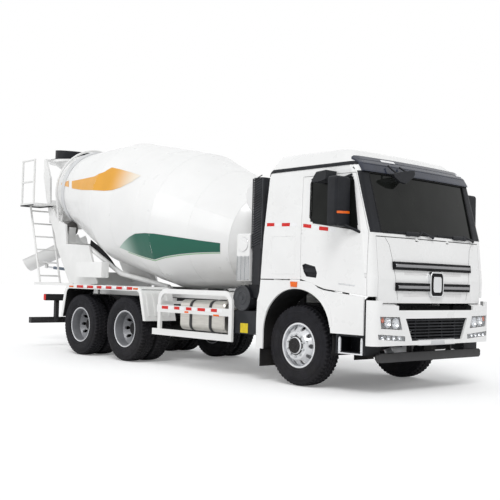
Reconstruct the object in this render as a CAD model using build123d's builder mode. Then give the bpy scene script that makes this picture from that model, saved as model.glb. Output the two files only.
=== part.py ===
from build123d import *
import os
from math import cos, hypot, pi, radians, sin, tan

# Concrete mixer truck, 6x4, cab over engine, with a tilted drum.
# Millimetres, +X forward, +Y to the driver's left, +Z up.
# The origin is on the ground, under the middle of the overall length.

os.makedirs("parts", exist_ok=True)

# Clearances
MOVE_GAP = 6.0  # between a moving panel and its frame
SEAT_GAP = 0.3  # between pieces that rest on one another
RUN_FIT = 0.05  # radial, at pins and bearings

# Wheels and axles
TYRE_R = 527.0
TYRE_HALF_W = 140.0
BEAD_R = 286.0
RIM_FLANGE_R = 298.5
RIM_HALF_W = 116.0
RIM_INNER_R = 272.0
WHEELBASE = 3900.0
TANDEM = 1350.0
FRONT_TRACK = 2080.0
REAR_TRACK = 1860.0
DUAL_SPACING = 320.0
FRONT_AXLE_X = 3559.5
MID_AXLE_X = FRONT_AXLE_X - WHEELBASE
REAR_AXLE_X = MID_AXLE_X - TANDEM
AXLE_Z = TYRE_R
DISC_R = 175.0
HUB_R = 112.0
BRAKE_DRUM_R = 205.0
SPINDLE_R = 40.0
REAR_SPINDLE_R = 60.0
KINGPIN_Y = 900.0
KINGPIN_R = 20.0
BOSS_R = 46.0
BOSS_HALF_H = 55.0
STEER_ARM = 220.0
TIE_PIN_R = 12.0
TIE_ROD_R = 18.0

# Chassis frame
RAIL_OUT_Y = 430.0
RAIL_H = 280.0
RAIL_FLANGE = 80.0
RAIL_T = 9.0
FRAME_TOP = 1050.0
FRAME_LOW = FRAME_TOP - RAIL_H
FRAME_FRONT_X = FRONT_AXLE_X + 1130.0
FRAME_REAR_X = FRONT_AXLE_X - 6750.0
SUB_H = 120.0
SUB_W = 80.0
SUB_TOP = FRAME_TOP + SUB_H
SUB_FRONT_X = FRONT_AXLE_X - 900.0
CENTRE_LEAF_Z = 500.0

# Cab
CAB_WALL = 45.0
CAB_REAR_FLOOR_Z = 1385.0
CAB_DOOR_LOW_Z = 1196.0
CAB_FLOOR_T = 50.0
CAB_PIVOT_X = FRONT_AXLE_X + 1225.0
CAB_PIVOT_Z = 760.0
CAB_PIVOT_R = 25.0
CAB_ARM_Y = 456.0
CAB_ARM_HALF_W = 22.0
GLASS_INSET = 12.0
GLASS_T = 8.0
LID_T = 30.0

# Mixer drum
DRUM_TILT = 12.0
DRUM_X = FRONT_AXLE_X - 1513.0
DRUM_Z = 1930.0
DRUM_WALL = 8.0
DRUM_HEAD_R = 470.0
DRUM_SHOULDER_S = 350.0
DRUM_SHOULDER_R = 782.0
DRUM_R = 1149.0
DRUM_BODY_S0 = 1900.0
DRUM_BODY_S1 = 2390.0
DRUM_TAPER_S = 3777.0
DRUM_TAPER_R = 1121.0
DRUM_MOUTH_S = 5790.0
DRUM_MOUTH_R = 645.0
STUB_R = 120.0
STUB_L = 150.0
RING_S = 5370.0
RING_R = 770.0
RING_W = 110.0
ROLLER_R = 150.0
ROLLER_W = 130.0
ROLLER_ANGLE = 32.0

# Discharge end
CHUTE_X = FRONT_AXLE_X - 7550.0
CHUTE_SLEW = 40.0
CHUTE_SLOPE = 25.0
CHUTE_R = 235.0
CHUTE_L = 1100.0
CHUTE_HEAD = 170.0
CHUTE_RIM_Z = 2140.0
CHUTE_PIN_Z = 1820.0
CHUTE_PIN_R = 20.0
JACK_LOW_H = 90.0  # along the chute from the post
JACK_LOW_Z = 1500.0
JACK_TOP_H = 570.0
JACK_TOP_Z = 1545.0
JACK_PIN_R = 12.0
JACK_EYE_PLAY = 9.0
CHUTE_T = 8.0
POST_R = 40.0
HOPPER_X = FRONT_AXLE_X - 7620.0
HOPPER_RIM_R = 500.0
HOPPER_RIM_Z = 3700.0
COLLAR_R = 400.0
COLLAR_TOP = 3945.0
COLLAR_SLANT = 110.0

SIDES = (("right", -1), ("left", 1))


def block(x0, x1, y0, y1, z0, z1, mode=Mode.ADD):
    """A box between two corners, in the open part."""
    with Locations(((x0 + x1) / 2, (y0 + y1) / 2, (z0 + z1) / 2)):
        Box(abs(x1 - x0), abs(y1 - y0), abs(z1 - z0), mode=mode)


def rod(start, end, radius, mode=Mode.ADD):
    """A round bar from one point to another, in the open part."""
    axis = Vector(*end) - Vector(*start)
    with BuildSketch(Plane(origin=start, z_dir=axis)) as section:
        Circle(radius)
    extrude(section.sketch, amount=axis.length, mode=mode)


def side_plate(outline, y0, y1, mode=Mode.ADD):
    """An outline of X and Z, given from the front axle, spread from y0 to y1."""
    with BuildSketch(Plane.XZ.offset(-y0)) as section:
        Polygon(*[(FRONT_AXLE_X + x, z) for x, z in outline], align=None)
    extrude(section.sketch, amount=y0 - y1, mode=mode)


def cross_plate(outline, x0, x1, mode=Mode.ADD):
    """An outline of Y and Z, spread from x0 to x1."""
    with BuildSketch(Plane.YZ.offset(x0)) as section:
        Polygon(*outline, align=None)
    extrude(section.sketch, amount=x1 - x0, mode=mode)


def turned(x, y, z, sign, profile, mode=Mode.ADD):
    """A profile of radius and outward distance, turned about a wheel's axis."""
    with BuildSketch(Plane((x, y, z))) as section:
        Polygon(*[(r, sign * w) for r, w in profile], align=None)
    revolve(section.sketch, axis=Axis((x, y, z), (0, 1, 0)), mode=mode)


# Tyres, one node for each wheel, both tyres of a twin wheel in one
TYRE_PROFILE = (  # radius, distance from the tyre's middle
    (BEAD_R + SEAT_GAP, -98.0),
    (345.0, -131.0),
    (432.0, -TYRE_HALF_W),
    (508.0, -129.0),
    (TYRE_R, -100.0),
    (TYRE_R, 100.0),
    (508.0, 129.0),
    (432.0, TYRE_HALF_W),
    (345.0, 131.0),
    (BEAD_R + SEAT_GAP, 98.0),
)
TWIN_IN_Y = (REAR_TRACK - DUAL_SPACING) / 2
TWIN_OUT_Y = (REAR_TRACK + DUAL_SPACING) / 2
TWIN_MID_Y = REAR_TRACK / 2
WHEELS = (  # name, axle's x, middle of each tyre
    ("front", FRONT_AXLE_X, (FRONT_TRACK / 2,)),
    ("middle", MID_AXLE_X, (TWIN_IN_Y, TWIN_OUT_Y)),
    ("rear", REAR_AXLE_X, (TWIN_IN_Y, TWIN_OUT_Y)),
)
for wheel, wheel_x, rows in WHEELS:
    for side, sign in SIDES:
        with BuildPart() as tyre:
            for row in rows:
                turned(wheel_x, sign * row, AXLE_Z, sign, TYRE_PROFILE)
        tyre.part.label = f"tyre_{wheel}_{side}"
        export_step(tyre.part, f"parts/tyre_{wheel}_{side}.step")

# Rims with hubs and brake drums, on bores that run on the spindles
RIM_PROFILE = (
    (RIM_FLANGE_R, RIM_HALF_W),
    (RIM_FLANGE_R, RIM_HALF_W - 10),
    (BEAD_R, 100.0),
    (BEAD_R, -100.0),
    (RIM_FLANGE_R, 10 - RIM_HALF_W),
    (RIM_FLANGE_R, -RIM_HALF_W),
    (RIM_INNER_R, -RIM_HALF_W),
    (RIM_INNER_R, RIM_HALF_W),
)
HAND_HOLES = 10
HAND_HOLE_R = 29.0
HAND_HOLE_PITCH_R = 224.0
FRONT_DISC = (
    (RIM_INNER_R + 2, 30.0),
    (DISC_R, 146.0),
    (80.0, 146.0),
    (80.0, 160.0),
    (DISC_R + 6, 160.0),
    (RIM_INNER_R + 2, 46.0),
)
FRONT_HUB = (
    (SPINDLE_R + RUN_FIT, -60.0),
    (BRAKE_DRUM_R, -60.0),
    (BRAKE_DRUM_R, 40.0),
    (HUB_R, 60.0),
    (HUB_R, 178.0),
    (92.0, 196.0),
    (0.0, 196.0),
    (0.0, 130.0),
    (SPINDLE_R + RUN_FIT, 130.0),
)
for side, sign in SIDES:
    wheel_y = sign * FRONT_TRACK / 2
    with BuildPart() as rim:
        turned(FRONT_AXLE_X, wheel_y, AXLE_Z, sign, RIM_PROFILE)
        turned(FRONT_AXLE_X, wheel_y, AXLE_Z, sign, FRONT_DISC)
        for k in range(HAND_HOLES):
            turn = 2 * pi * k / HAND_HOLES
            hole_x = FRONT_AXLE_X + HAND_HOLE_PITCH_R * cos(turn)
            hole_z = AXLE_Z + HAND_HOLE_PITCH_R * sin(turn)
            rod((hole_x, wheel_y, hole_z), (hole_x, wheel_y + sign * 170, hole_z), HAND_HOLE_R, Mode.SUBTRACT)
        turned(FRONT_AXLE_X, wheel_y, AXLE_Z, sign, FRONT_HUB)
    rim.part.label = f"rim_front_{side}"
    export_step(rim.part, f"parts/rim_front_{side}.step")

# A rear disc reaches from its barrel to the middle of the twin wheel
DISH = DUAL_SPACING / 2
OUTER_DISH = (
    (RIM_INNER_R + 2, -52.0),
    (DISC_R, -DISH),
    (80.0, -DISH),
    (80.0, 14 - DISH),
    (DISC_R + 8, 14 - DISH),
    (RIM_INNER_R + 2, -34.0),
)
INNER_DISH = tuple((r, -w) for r, w in OUTER_DISH)
REAR_HUB = (  # outward distance from the middle of the twin wheel
    (REAR_SPINDLE_R + RUN_FIT, -285.0),
    (BRAKE_DRUM_R, -285.0),
    (BRAKE_DRUM_R, -120.0),
    (HUB_R, -110.0),
    (HUB_R, 80.0),
    (96.0, 104.0),
    (0.0, 104.0),
    (0.0, 72.0),
    (REAR_SPINDLE_R + RUN_FIT, 72.0),
)
for wheel, wheel_x, rows in WHEELS[1:]:
    for side, sign in SIDES:
        with BuildPart() as rim:
            for row, dish in zip(rows, (INNER_DISH, OUTER_DISH)):
                turned(wheel_x, sign * row, AXLE_Z, sign, RIM_PROFILE)
                turned(wheel_x, sign * row, AXLE_Z, sign, dish)
            for k in range(HAND_HOLES):
                turn = 2 * pi * k / HAND_HOLES
                hole_x = wheel_x + HAND_HOLE_PITCH_R * cos(turn)
                hole_z = AXLE_Z + HAND_HOLE_PITCH_R * sin(turn)
                hole_in = (hole_x, sign * (TWIN_MID_Y - 150), hole_z)
                hole_out = (hole_x, sign * (TWIN_MID_Y + 150), hole_z)
                rod(hole_in, hole_out, HAND_HOLE_R, Mode.SUBTRACT)
            turned(wheel_x, sign * TWIN_MID_Y, AXLE_Z, sign, REAR_HUB)
        rim.part.label = f"rim_{wheel}_{side}"
        export_step(rim.part, f"parts/rim_{wheel}_{side}.step")

# Front axle beam with its kingpin bosses, the two rear axle housings, and the leaf springs
BEAM_OUTLINE = (
    (-KINGPIN_Y, 578.0),
    (-830.0, 578.0),
    (-560.0, CENTRE_LEAF_Z),
    (560.0, CENTRE_LEAF_Z),
    (830.0, 578.0),
    (KINGPIN_Y, 578.0),
    (KINGPIN_Y, 476.0),
    (830.0, 476.0),
    (540.0, 405.0),
    (-540.0, 405.0),
    (-830.0, 476.0),
    (-KINGPIN_Y, 476.0),
)
HOUSING = (
    (0.0, -1000.0),
    (REAR_SPINDLE_R, -1000.0),
    (REAR_SPINDLE_R, -640.0),
    (88.0, -640.0),
    (88.0, -300.0),
    (215.0, -130.0),
    (215.0, 130.0),
    (88.0, 300.0),
    (88.0, 640.0),
    (REAR_SPINDLE_R, 640.0),
    (REAR_SPINDLE_R, 1000.0),
    (0.0, 1000.0),
)
NOSE_L = 330.0
THROUGH_L = 235.0
THROUGH_Z = AXLE_Z + 70.0
SPRING_Y = 500.0
SPRING_SEAT_Z = 632.0
LEAF_W = 75.0
TRUNNION_X = (MID_AXLE_X + REAR_AXLE_X) / 2
TRUNNION_Z = 615.0
with BuildPart() as axles:
    cross_plate(BEAM_OUTLINE, FRONT_AXLE_X - 36, FRONT_AXLE_X + 36)
    for _, sign in SIDES:
        boss_low = (FRONT_AXLE_X, sign * KINGPIN_Y, AXLE_Z - BOSS_HALF_H)
        boss_top = (FRONT_AXLE_X, sign * KINGPIN_Y, AXLE_Z + BOSS_HALF_H)
        rod(boss_low, boss_top, BOSS_R)
        rod(boss_low, boss_top, KINGPIN_R + RUN_FIT, Mode.SUBTRACT)
    rod((MID_AXLE_X, 0, THROUGH_Z), (MID_AXLE_X - THROUGH_L, 0, THROUGH_Z), 72)
    for axle_x in (MID_AXLE_X, REAR_AXLE_X):
        turned(axle_x, 0, AXLE_Z, 1, HOUSING)
        rod((axle_x, 0, AXLE_Z + 20), (axle_x + NOSE_L, 0, AXLE_Z + 40), 92)
        for _, sign in SIDES:
            pad_in = sign * (SPRING_Y - 45)
            block(axle_x - 100, axle_x + 100, pad_in, sign * (SPRING_Y + 45), AXLE_Z + 60, SPRING_SEAT_Z)
    for _, sign in SIDES:
        inner_y = sign * (RAIL_OUT_Y - 5)
        with BuildSketch(Plane.XZ.offset(-inner_y)):
            with BuildLine():
                low_leaf = ThreePointArc(
                    (FRONT_AXLE_X - 780, 690),
                    (FRONT_AXLE_X, CENTRE_LEAF_Z + SEAT_GAP),
                    (FRONT_AXLE_X + 780, 690),
                )
                top_leaf = ThreePointArc(
                    (FRONT_AXLE_X + 780, 716),
                    (FRONT_AXLE_X, CENTRE_LEAF_Z + 66),
                    (FRONT_AXLE_X - 780, 716),
                )
                Line(low_leaf @ 1, top_leaf @ 0)
                Line(top_leaf @ 1, low_leaf @ 0)
            make_face()
        extrude(amount=sign * LEAF_W)
        for end in (-780, 780):
            hanger_x = FRONT_AXLE_X + end
            block(hanger_x - 35, hanger_x + 35, sign * 350, sign * (RAIL_OUT_Y - 5), 672, FRAME_LOW - SEAT_GAP)
        outer_y = sign * (SPRING_Y + 45)
        with BuildSketch(Plane.XZ.offset(-outer_y)):
            with BuildLine():
                low_leaf = ThreePointArc(
                    (REAR_AXLE_X - 90, SPRING_SEAT_Z + SEAT_GAP),
                    (TRUNNION_X, 672),
                    (MID_AXLE_X + 90, SPRING_SEAT_Z + SEAT_GAP),
                )
                top_leaf = ThreePointArc(
                    (MID_AXLE_X + 90, 660),
                    (TRUNNION_X, 765),
                    (REAR_AXLE_X - 90, 660),
                )
                Line(low_leaf @ 1, top_leaf @ 0)
                Line(top_leaf @ 1, low_leaf @ 0)
            make_face()
        extrude(amount=sign * 90)
        hanger_out = sign * (SPRING_Y - 46)
        hanger_in = sign * (RAIL_OUT_Y + SEAT_GAP)
        block(TRUNNION_X - 170, TRUNNION_X + 170, hanger_in, hanger_out, TRUNNION_Z - 70, 1000)
        rod((TRUNNION_X, sign * 380, TRUNNION_Z), (TRUNNION_X, sign * (SPRING_Y + 60), TRUNNION_Z), 55)
        pad_in = sign * (SPRING_Y - 45)
        block(TRUNNION_X - 120, TRUNNION_X + 120, pad_in, sign * (SPRING_Y + 45), TRUNNION_Z, 680)
axles.part.label = "axles"
export_step(axles.part, "parts/axles.step")

# Knuckles: two ears on the kingpin, the spindle, and the arm to the tie rod
EAR_H = 30.0
EAR_GAP = 1.0
EAR_R = 50.0
ARM_LOW = AXLE_Z - BOSS_HALF_H - EAR_GAP - EAR_H
ARM_HALF_W = 22.0
for side, sign in SIDES:
    pin_y = sign * KINGPIN_Y
    with BuildPart() as knuckle:
        for low in (AXLE_Z + BOSS_HALF_H + EAR_GAP, ARM_LOW):
            rod((FRONT_AXLE_X, pin_y, low), (FRONT_AXLE_X, pin_y, low + EAR_H), EAR_R)
            block(FRONT_AXLE_X - 48, FRONT_AXLE_X + 48, pin_y, pin_y + sign * 72, low, low + EAR_H)
        plate_top = AXLE_Z + BOSS_HALF_H + EAR_GAP + EAR_H
        block(FRONT_AXLE_X - 48, FRONT_AXLE_X + 48, pin_y + sign * 54, pin_y + sign * 72, ARM_LOW, plate_top)
        rod((FRONT_AXLE_X, pin_y, ARM_LOW), (FRONT_AXLE_X, pin_y, plate_top), KINGPIN_R)
        spindle_end = sign * (FRONT_TRACK / 2 + 122)
        rod((FRONT_AXLE_X, pin_y + sign * 60, AXLE_Z), (FRONT_AXLE_X, spindle_end, AXLE_Z), SPINDLE_R)
        arm_x = FRONT_AXLE_X - STEER_ARM
        block(arm_x, FRONT_AXLE_X, pin_y - ARM_HALF_W, pin_y + ARM_HALF_W, ARM_LOW, ARM_LOW + 26)
        rod((arm_x, pin_y, ARM_LOW), (arm_x, pin_y, ARM_LOW + 26), ARM_HALF_W)
        rod((arm_x, pin_y, ARM_LOW), (arm_x, pin_y, ARM_LOW + 26), TIE_PIN_R + 2 * RUN_FIT, Mode.SUBTRACT)
    knuckle.part.label = f"knuckle_{side}"
    export_step(knuckle.part, f"parts/knuckle_{side}.step")

# Tie rod under the arms, with a pin up through each eye
TIE_Z = ARM_LOW - 6 - TIE_ROD_R
with BuildPart() as tie_rod:
    tie_x = FRONT_AXLE_X - STEER_ARM
    rod((tie_x, -KINGPIN_Y - 22, TIE_Z), (tie_x, KINGPIN_Y + 22, TIE_Z), TIE_ROD_R)
    for _, sign in SIDES:
        rod((tie_x, sign * KINGPIN_Y, TIE_Z), (tie_x, sign * KINGPIN_Y, ARM_LOW + 32), TIE_PIN_R)
        rod((tie_x, sign * KINGPIN_Y, ARM_LOW + 27), (tie_x, sign * KINGPIN_Y, ARM_LOW + 38), TIE_PIN_R + 6)
tie_rod.part.label = "tie_rod"
export_step(tie_rod.part, "parts/tie_rod.step")

# Chassis frame: two channel rails, cross members, cab mount, hinge pins and front underrun bar
CROSS_MEMBERS = (1045, -1150, -2300, -3150, -4575, -6000, -6700)  # from the front axle
CHANNEL = (
    (RAIL_OUT_Y, FRAME_LOW),
    (RAIL_OUT_Y, FRAME_TOP),
    (RAIL_OUT_Y - RAIL_FLANGE, FRAME_TOP),
    (RAIL_OUT_Y - RAIL_FLANGE, FRAME_TOP - RAIL_T),
    (RAIL_OUT_Y - RAIL_T, FRAME_TOP - RAIL_T),
    (RAIL_OUT_Y - RAIL_T, FRAME_LOW + RAIL_T),
    (RAIL_OUT_Y - RAIL_FLANGE, FRAME_LOW + RAIL_T),
    (RAIL_OUT_Y - RAIL_FLANGE, FRAME_LOW),
)
WEB_Y = RAIL_OUT_Y - RAIL_T
UNDERRUN_Z = 455.0
UNDERRUN = (
    (-1080.0, UNDERRUN_Z - 30),
    (-1050.0, UNDERRUN_Z - 55),
    (1050.0, UNDERRUN_Z - 55),
    (1080.0, UNDERRUN_Z - 30),
    (1080.0, UNDERRUN_Z + 30),
    (1050.0, UNDERRUN_Z + 55),
    (-1050.0, UNDERRUN_Z + 55),
    (-1080.0, UNDERRUN_Z + 30),
)
CAB_PROP_X = FRONT_AXLE_X - 610.0
with BuildPart() as frame:
    cross_plate(CHANNEL, FRAME_REAR_X, FRAME_FRONT_X)
    cross_plate([(-y, z) for y, z in CHANNEL], FRAME_REAR_X, FRAME_FRONT_X)
    for offset_x in CROSS_MEMBERS:
        member_x = FRONT_AXLE_X + offset_x
        block(member_x - 40, member_x + 40, -WEB_Y, WEB_Y, FRAME_LOW + 40, FRAME_TOP - 40)
    for _, sign in SIDES:
        post_y = sign * (RAIL_OUT_Y + 25)
        block(CAB_PROP_X - 45, CAB_PROP_X + 45, post_y - 25, post_y + 25, FRAME_TOP - 200, 1320)
        ear_y0 = sign * (RAIL_OUT_Y - 28)
        ear_y1 = sign * RAIL_OUT_Y
        block(FRAME_FRONT_X - 90, CAB_PIVOT_X + 45, ear_y0, ear_y1, CAB_PIVOT_Z - 45, CAB_PIVOT_Z + 60)
        pin_out = (CAB_PIVOT_X, ear_y1, CAB_PIVOT_Z)
        rod(pin_out, (CAB_PIVOT_X, sign * (CAB_ARM_Y + CAB_ARM_HALF_W + 6), CAB_PIVOT_Z), CAB_PIVOT_R)
        hanger_top = CAB_PIVOT_Z - 40
        block(FRONT_AXLE_X + 1190, FRONT_AXLE_X + 1270, ear_y0, ear_y1, UNDERRUN_Z - 40, hanger_top)
    prop_top = CAB_REAR_FLOOR_Z - SEAT_GAP
    block(CAB_PROP_X - 45, CAB_PROP_X + 45, -RAIL_OUT_Y - 50, RAIL_OUT_Y + 50, 1320, prop_top)
    cross_plate(UNDERRUN, FRONT_AXLE_X + 1225, FRONT_AXLE_X + 1290)
frame.part.label = "frame"
export_step(frame.part, "parts/frame.step")

# Engine, gearbox and radiator as plain blocks, with the shafts to the rear axles
GEARBOX_REAR_X = FRONT_AXLE_X - 980.0
with BuildPart() as powertrain:
    block(FRONT_AXLE_X - 250, FRONT_AXLE_X + 860, -300, 300, 600, 1120)
    chamfer(powertrain.edges().filter_by(Axis.X), 60)
    block(GEARBOX_REAR_X, FRONT_AXLE_X - 250, -180, 180, 620, 960)
    block(FRONT_AXLE_X + 900, FRONT_AXLE_X + 990, -330, 330, 640, 1110)
    block(FRONT_AXLE_X + 850, FRONT_AXLE_X + 905, -120, 120, 760, 1000)
    through_x = MID_AXLE_X - THROUGH_L - SEAT_GAP
    rod((through_x, 0, THROUGH_Z), (through_x - 40, 0, THROUGH_Z), 62)
    for axle_x, from_x, from_z in ((MID_AXLE_X, GEARBOX_REAR_X + 10, 720), (REAR_AXLE_X, through_x - 25, THROUGH_Z)):
        nose_end = Vector(axle_x + NOSE_L, 0, AXLE_Z + 40)
        nose_dir = Vector(NOSE_L, 0, 20).normalized()
        rod(tuple(nose_end + nose_dir * SEAT_GAP), tuple(nose_end + nose_dir * 40), 62)
        rod(tuple(nose_end + nose_dir * 25), (from_x, 0, from_z), 50)
powertrain.part.label = "powertrain"
export_step(powertrain.part, "parts/powertrain.step")

# Fuel tank on the right, on two arms
TANK_X0 = FRONT_AXLE_X - 2474.0
TANK_X1 = FRONT_AXLE_X - 1457.0
TANK_Y = -905.0
TANK_Z = 822.0
TANK_D = 580.0
TANK_H = 455.0
with BuildPart() as fuel_tank:
    with BuildSketch(Plane.YZ.offset(TANK_X0)):
        with Locations((TANK_Y, TANK_Z)):
            RectangleRounded(TANK_D, TANK_H, 100)
    extrude(amount=TANK_X1 - TANK_X0)
    chamfer(fuel_tank.faces().filter_by(Axis.X).edges(), 22)
    rod((TANK_X1 - 140, TANK_Y, TANK_Z), (TANK_X1 - 140, TANK_Y - 60, TANK_Z + TANK_H / 2 + 30), 42)
    for arm_x in (TANK_X0 + 210, TANK_X1 - 330):
        block(arm_x, arm_x + 70, TANK_Y + TANK_D / 2 - 5, -RAIL_OUT_Y - SEAT_GAP, 700, 940)
fuel_tank.part.label = "fuel_tank"
export_step(fuel_tank.part, "parts/fuel_tank.step")

# Left side: battery box, silencer, air tanks
with BuildPart() as battery_box:
    block(FRONT_AXLE_X - 1560, FRONT_AXLE_X - 940, 600, 1190, 620, 960)
    chamfer(battery_box.edges().filter_by(Axis.X), 20)
    block(FRONT_AXLE_X - 1500, FRONT_AXLE_X - 1000, RAIL_OUT_Y + SEAT_GAP, 605, 820, 900)
battery_box.part.label = "battery_box"
export_step(battery_box.part, "parts/battery_box.step")

SILENCER_R = 215.0
with BuildPart() as silencer:
    rod((FRONT_AXLE_X - 2330, 900, 830), (FRONT_AXLE_X - 1640, 900, 830), SILENCER_R)
    chamfer(silencer.faces().filter_by(Axis.X).edges(), 30)
    for saddle_x in (-2200, -1830):
        block(FRONT_AXLE_X + saddle_x, FRONT_AXLE_X + saddle_x + 60, RAIL_OUT_Y + SEAT_GAP, 720, 760, 900)
    rod((FRONT_AXLE_X - 2330, 900, 760), (FRONT_AXLE_X - 2440, 900, 760), 62)
    rod((FRONT_AXLE_X - 2385, 900, 760), (FRONT_AXLE_X - 2385, 1120, 740), 60)
silencer.part.label = "silencer"
export_step(silencer.part, "parts/silencer.step")

with BuildPart() as air_tanks:
    for tank_y in (640, 960):
        rod((FRONT_AXLE_X - 3080, tank_y, 800), (FRONT_AXLE_X - 2520, tank_y, 800), 135)
    chamfer(air_tanks.faces().filter_by(Axis.X).edges(), 35)
    for saddle_x in (-3000, -2650):
        block(FRONT_AXLE_X + saddle_x, FRONT_AXLE_X + saddle_x + 50, RAIL_OUT_Y + SEAT_GAP, 1000, 925, 955)
air_tanks.part.label = "air_tanks"
export_step(air_tanks.part, "parts/air_tanks.step")

# Side guards: a hoop of post, top rail and post, with middle and low rails
GUARD_Y0 = 1205.0
GUARD_Y1 = 1242.0
HOOP_HALF = 36.0
HOOP_BEND = 150.0
HOOP = ((-1262.0, 490.0), (-1262.0, 1165.0), (-2930.0, 1165.0), (-2930.0, 490.0))
with BuildPart() as side_guards:
    for _, sign in SIDES:
        with BuildSketch(Plane.XZ.offset(-sign * GUARD_Y0)):
            with BuildLine():
                outer = FilletPolyline(
                    (FRONT_AXLE_X + HOOP[0][0] + HOOP_HALF, HOOP[0][1]),
                    (FRONT_AXLE_X + HOOP[1][0] + HOOP_HALF, HOOP[1][1] + HOOP_HALF),
                    (FRONT_AXLE_X + HOOP[2][0] - HOOP_HALF, HOOP[2][1] + HOOP_HALF),
                    (FRONT_AXLE_X + HOOP[3][0] - HOOP_HALF, HOOP[3][1]),
                    radius=HOOP_BEND + HOOP_HALF,
                )
                inner = FilletPolyline(
                    (FRONT_AXLE_X + HOOP[0][0] - HOOP_HALF, HOOP[0][1]),
                    (FRONT_AXLE_X + HOOP[1][0] - HOOP_HALF, HOOP[1][1] - HOOP_HALF),
                    (FRONT_AXLE_X + HOOP[2][0] + HOOP_HALF, HOOP[2][1] - HOOP_HALF),
                    (FRONT_AXLE_X + HOOP[3][0] + HOOP_HALF, HOOP[3][1]),
                    radius=HOOP_BEND - HOOP_HALF,
                )
                Line(outer @ 0, inner @ 0)
                Line(outer @ 1, inner @ 1)
            make_face()
        extrude(amount=-sign * (GUARD_Y1 - GUARD_Y0))
        y0 = sign * GUARD_Y0
        y1 = sign * GUARD_Y1
        block(FRONT_AXLE_X - 2990, FRONT_AXLE_X - 1240, y0, y1, 842, 950)
        block(FRONT_AXLE_X - 3100, FRONT_AXLE_X - 1240, y0, y1, 490, 586)
        for stay_x in (-1290, -2955):
            stay_y = sign * (RAIL_OUT_Y + SEAT_GAP)
            block(FRONT_AXLE_X + stay_x, FRONT_AXLE_X + stay_x + 50, stay_y, sign * (GUARD_Y0 + 5), 962, 1010)
side_guards.part.label = "side_guards"
export_step(side_guards.part, "parts/side_guards.step")

# Rear fenders over the tandem: a bent sheet with ribs in front and an outer edge
FENDER_Y0 = 640.0
FENDER_Y1 = 1245.0
FENDER_T = 10.0
FENDER_EDGE = 70.0
FENDER_PATH = ((-5870.0, 640.0), (-5735.0, 1218.0), (-3425.0, 1218.0), (-3275.0, 680.0))
FENDER_BEND = 170.0
RIBS = 4
RIB_PITCH = 135.0
RIB_W = 36.0
RIB_H = 16.0
RIB_FROM = 110.0  # along the front slope
RIB_TO = 480.0


def fender_band(depth):
    """The fender's outline and the same bent line a depth inside it."""
    tuck = (
        (FENDER_PATH[0][0] + depth, FENDER_PATH[0][1]),
        (FENDER_PATH[1][0] + 0.8 * depth, FENDER_PATH[1][1] - depth),
        (FENDER_PATH[2][0] - 0.8 * depth, FENDER_PATH[2][1] - depth),
        (FENDER_PATH[3][0] - depth, FENDER_PATH[3][1]),
    )
    with BuildLine() as band:
        outer = FilletPolyline(*[(FRONT_AXLE_X + x, z) for x, z in FENDER_PATH], radius=FENDER_BEND)
        inner = FilletPolyline(*[(FRONT_AXLE_X + x, z) for x, z in tuck], radius=FENDER_BEND - depth)
        Line(outer @ 0, inner @ 0)
        Line(outer @ 1, inner @ 1)
    return make_face(band.line.edges(), mode=Mode.PRIVATE)


with BuildPart() as rear_fenders:
    for _, sign in SIDES:
        with BuildSketch(Plane.XZ.offset(-sign * FENDER_Y0)):
            add(fender_band(FENDER_T))
        extrude(amount=-sign * (FENDER_Y1 - FENDER_Y0))
        with BuildSketch(Plane.XZ.offset(-sign * (FENDER_Y1 - 10))):
            add(fender_band(FENDER_EDGE))
        extrude(amount=-sign * 10)
        slope = (Vector(*FENDER_PATH[3]) - Vector(*FENDER_PATH[2])).normalized()
        outward = Vector(-slope.Y, slope.X)
        rib_top = Vector(*FENDER_PATH[2]) + slope * RIB_FROM - outward * 2
        rib_end = Vector(*FENDER_PATH[2]) + slope * RIB_TO - outward * 2
        rib = [rib_top, rib_top + outward * RIB_H, rib_end + outward * RIB_H, rib_end]
        for k in range(RIBS):
            rib_y = FENDER_Y0 + RIB_PITCH * (k + 0.7)
            side_plate([(at.X, at.Y) for at in rib], sign * rib_y, sign * (rib_y + RIB_W))
        for stay_x in (-5600, -3600):
            stay_y = sign * (RAIL_OUT_Y + SEAT_GAP)
            block(FRONT_AXLE_X + stay_x, FRONT_AXLE_X + stay_x + 60, stay_y, sign * (FENDER_Y0 + 8), 990, 1040)
            rise_y = sign * FENDER_Y0
            block(FRONT_AXLE_X + stay_x, FRONT_AXLE_X + stay_x + 60, rise_y, rise_y + sign * 12, 990, 1214)
rear_fenders.part.label = "rear_fenders"
export_step(rear_fenders.part, "parts/rear_fenders.step")

# Rear bumper: lamp bar on two arms, hangers and the underrun bar
LAMP_BAR_X = FRONT_AXLE_X - 6990.0
with BuildPart() as rear_bumper:
    block(LAMP_BAR_X, LAMP_BAR_X + 80, -960, 960, 890, 1015)
    for _, sign in SIDES:
        arm_y = sign * (RAIL_OUT_Y + SEAT_GAP)
        block(LAMP_BAR_X + 10, FRAME_REAR_X + 160, arm_y, arm_y + sign * 28, 860, 1020)
        block(LAMP_BAR_X - 15, LAMP_BAR_X + 65, sign * 665, sign * 735, 560, 900)
        block(LAMP_BAR_X - 20, LAMP_BAR_X + 70, sign * 685, sign * 715, 610, 850, Mode.SUBTRACT)
        block(LAMP_BAR_X - 120, LAMP_BAR_X + 60, sign * 665, sign * 735, 480, 562)
    block(LAMP_BAR_X - 120, LAMP_BAR_X - 20, -1200, 1200, 461, 571)
rear_bumper.part.label = "rear_bumper"
export_step(rear_bumper.part, "parts/rear_bumper.step")


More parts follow.
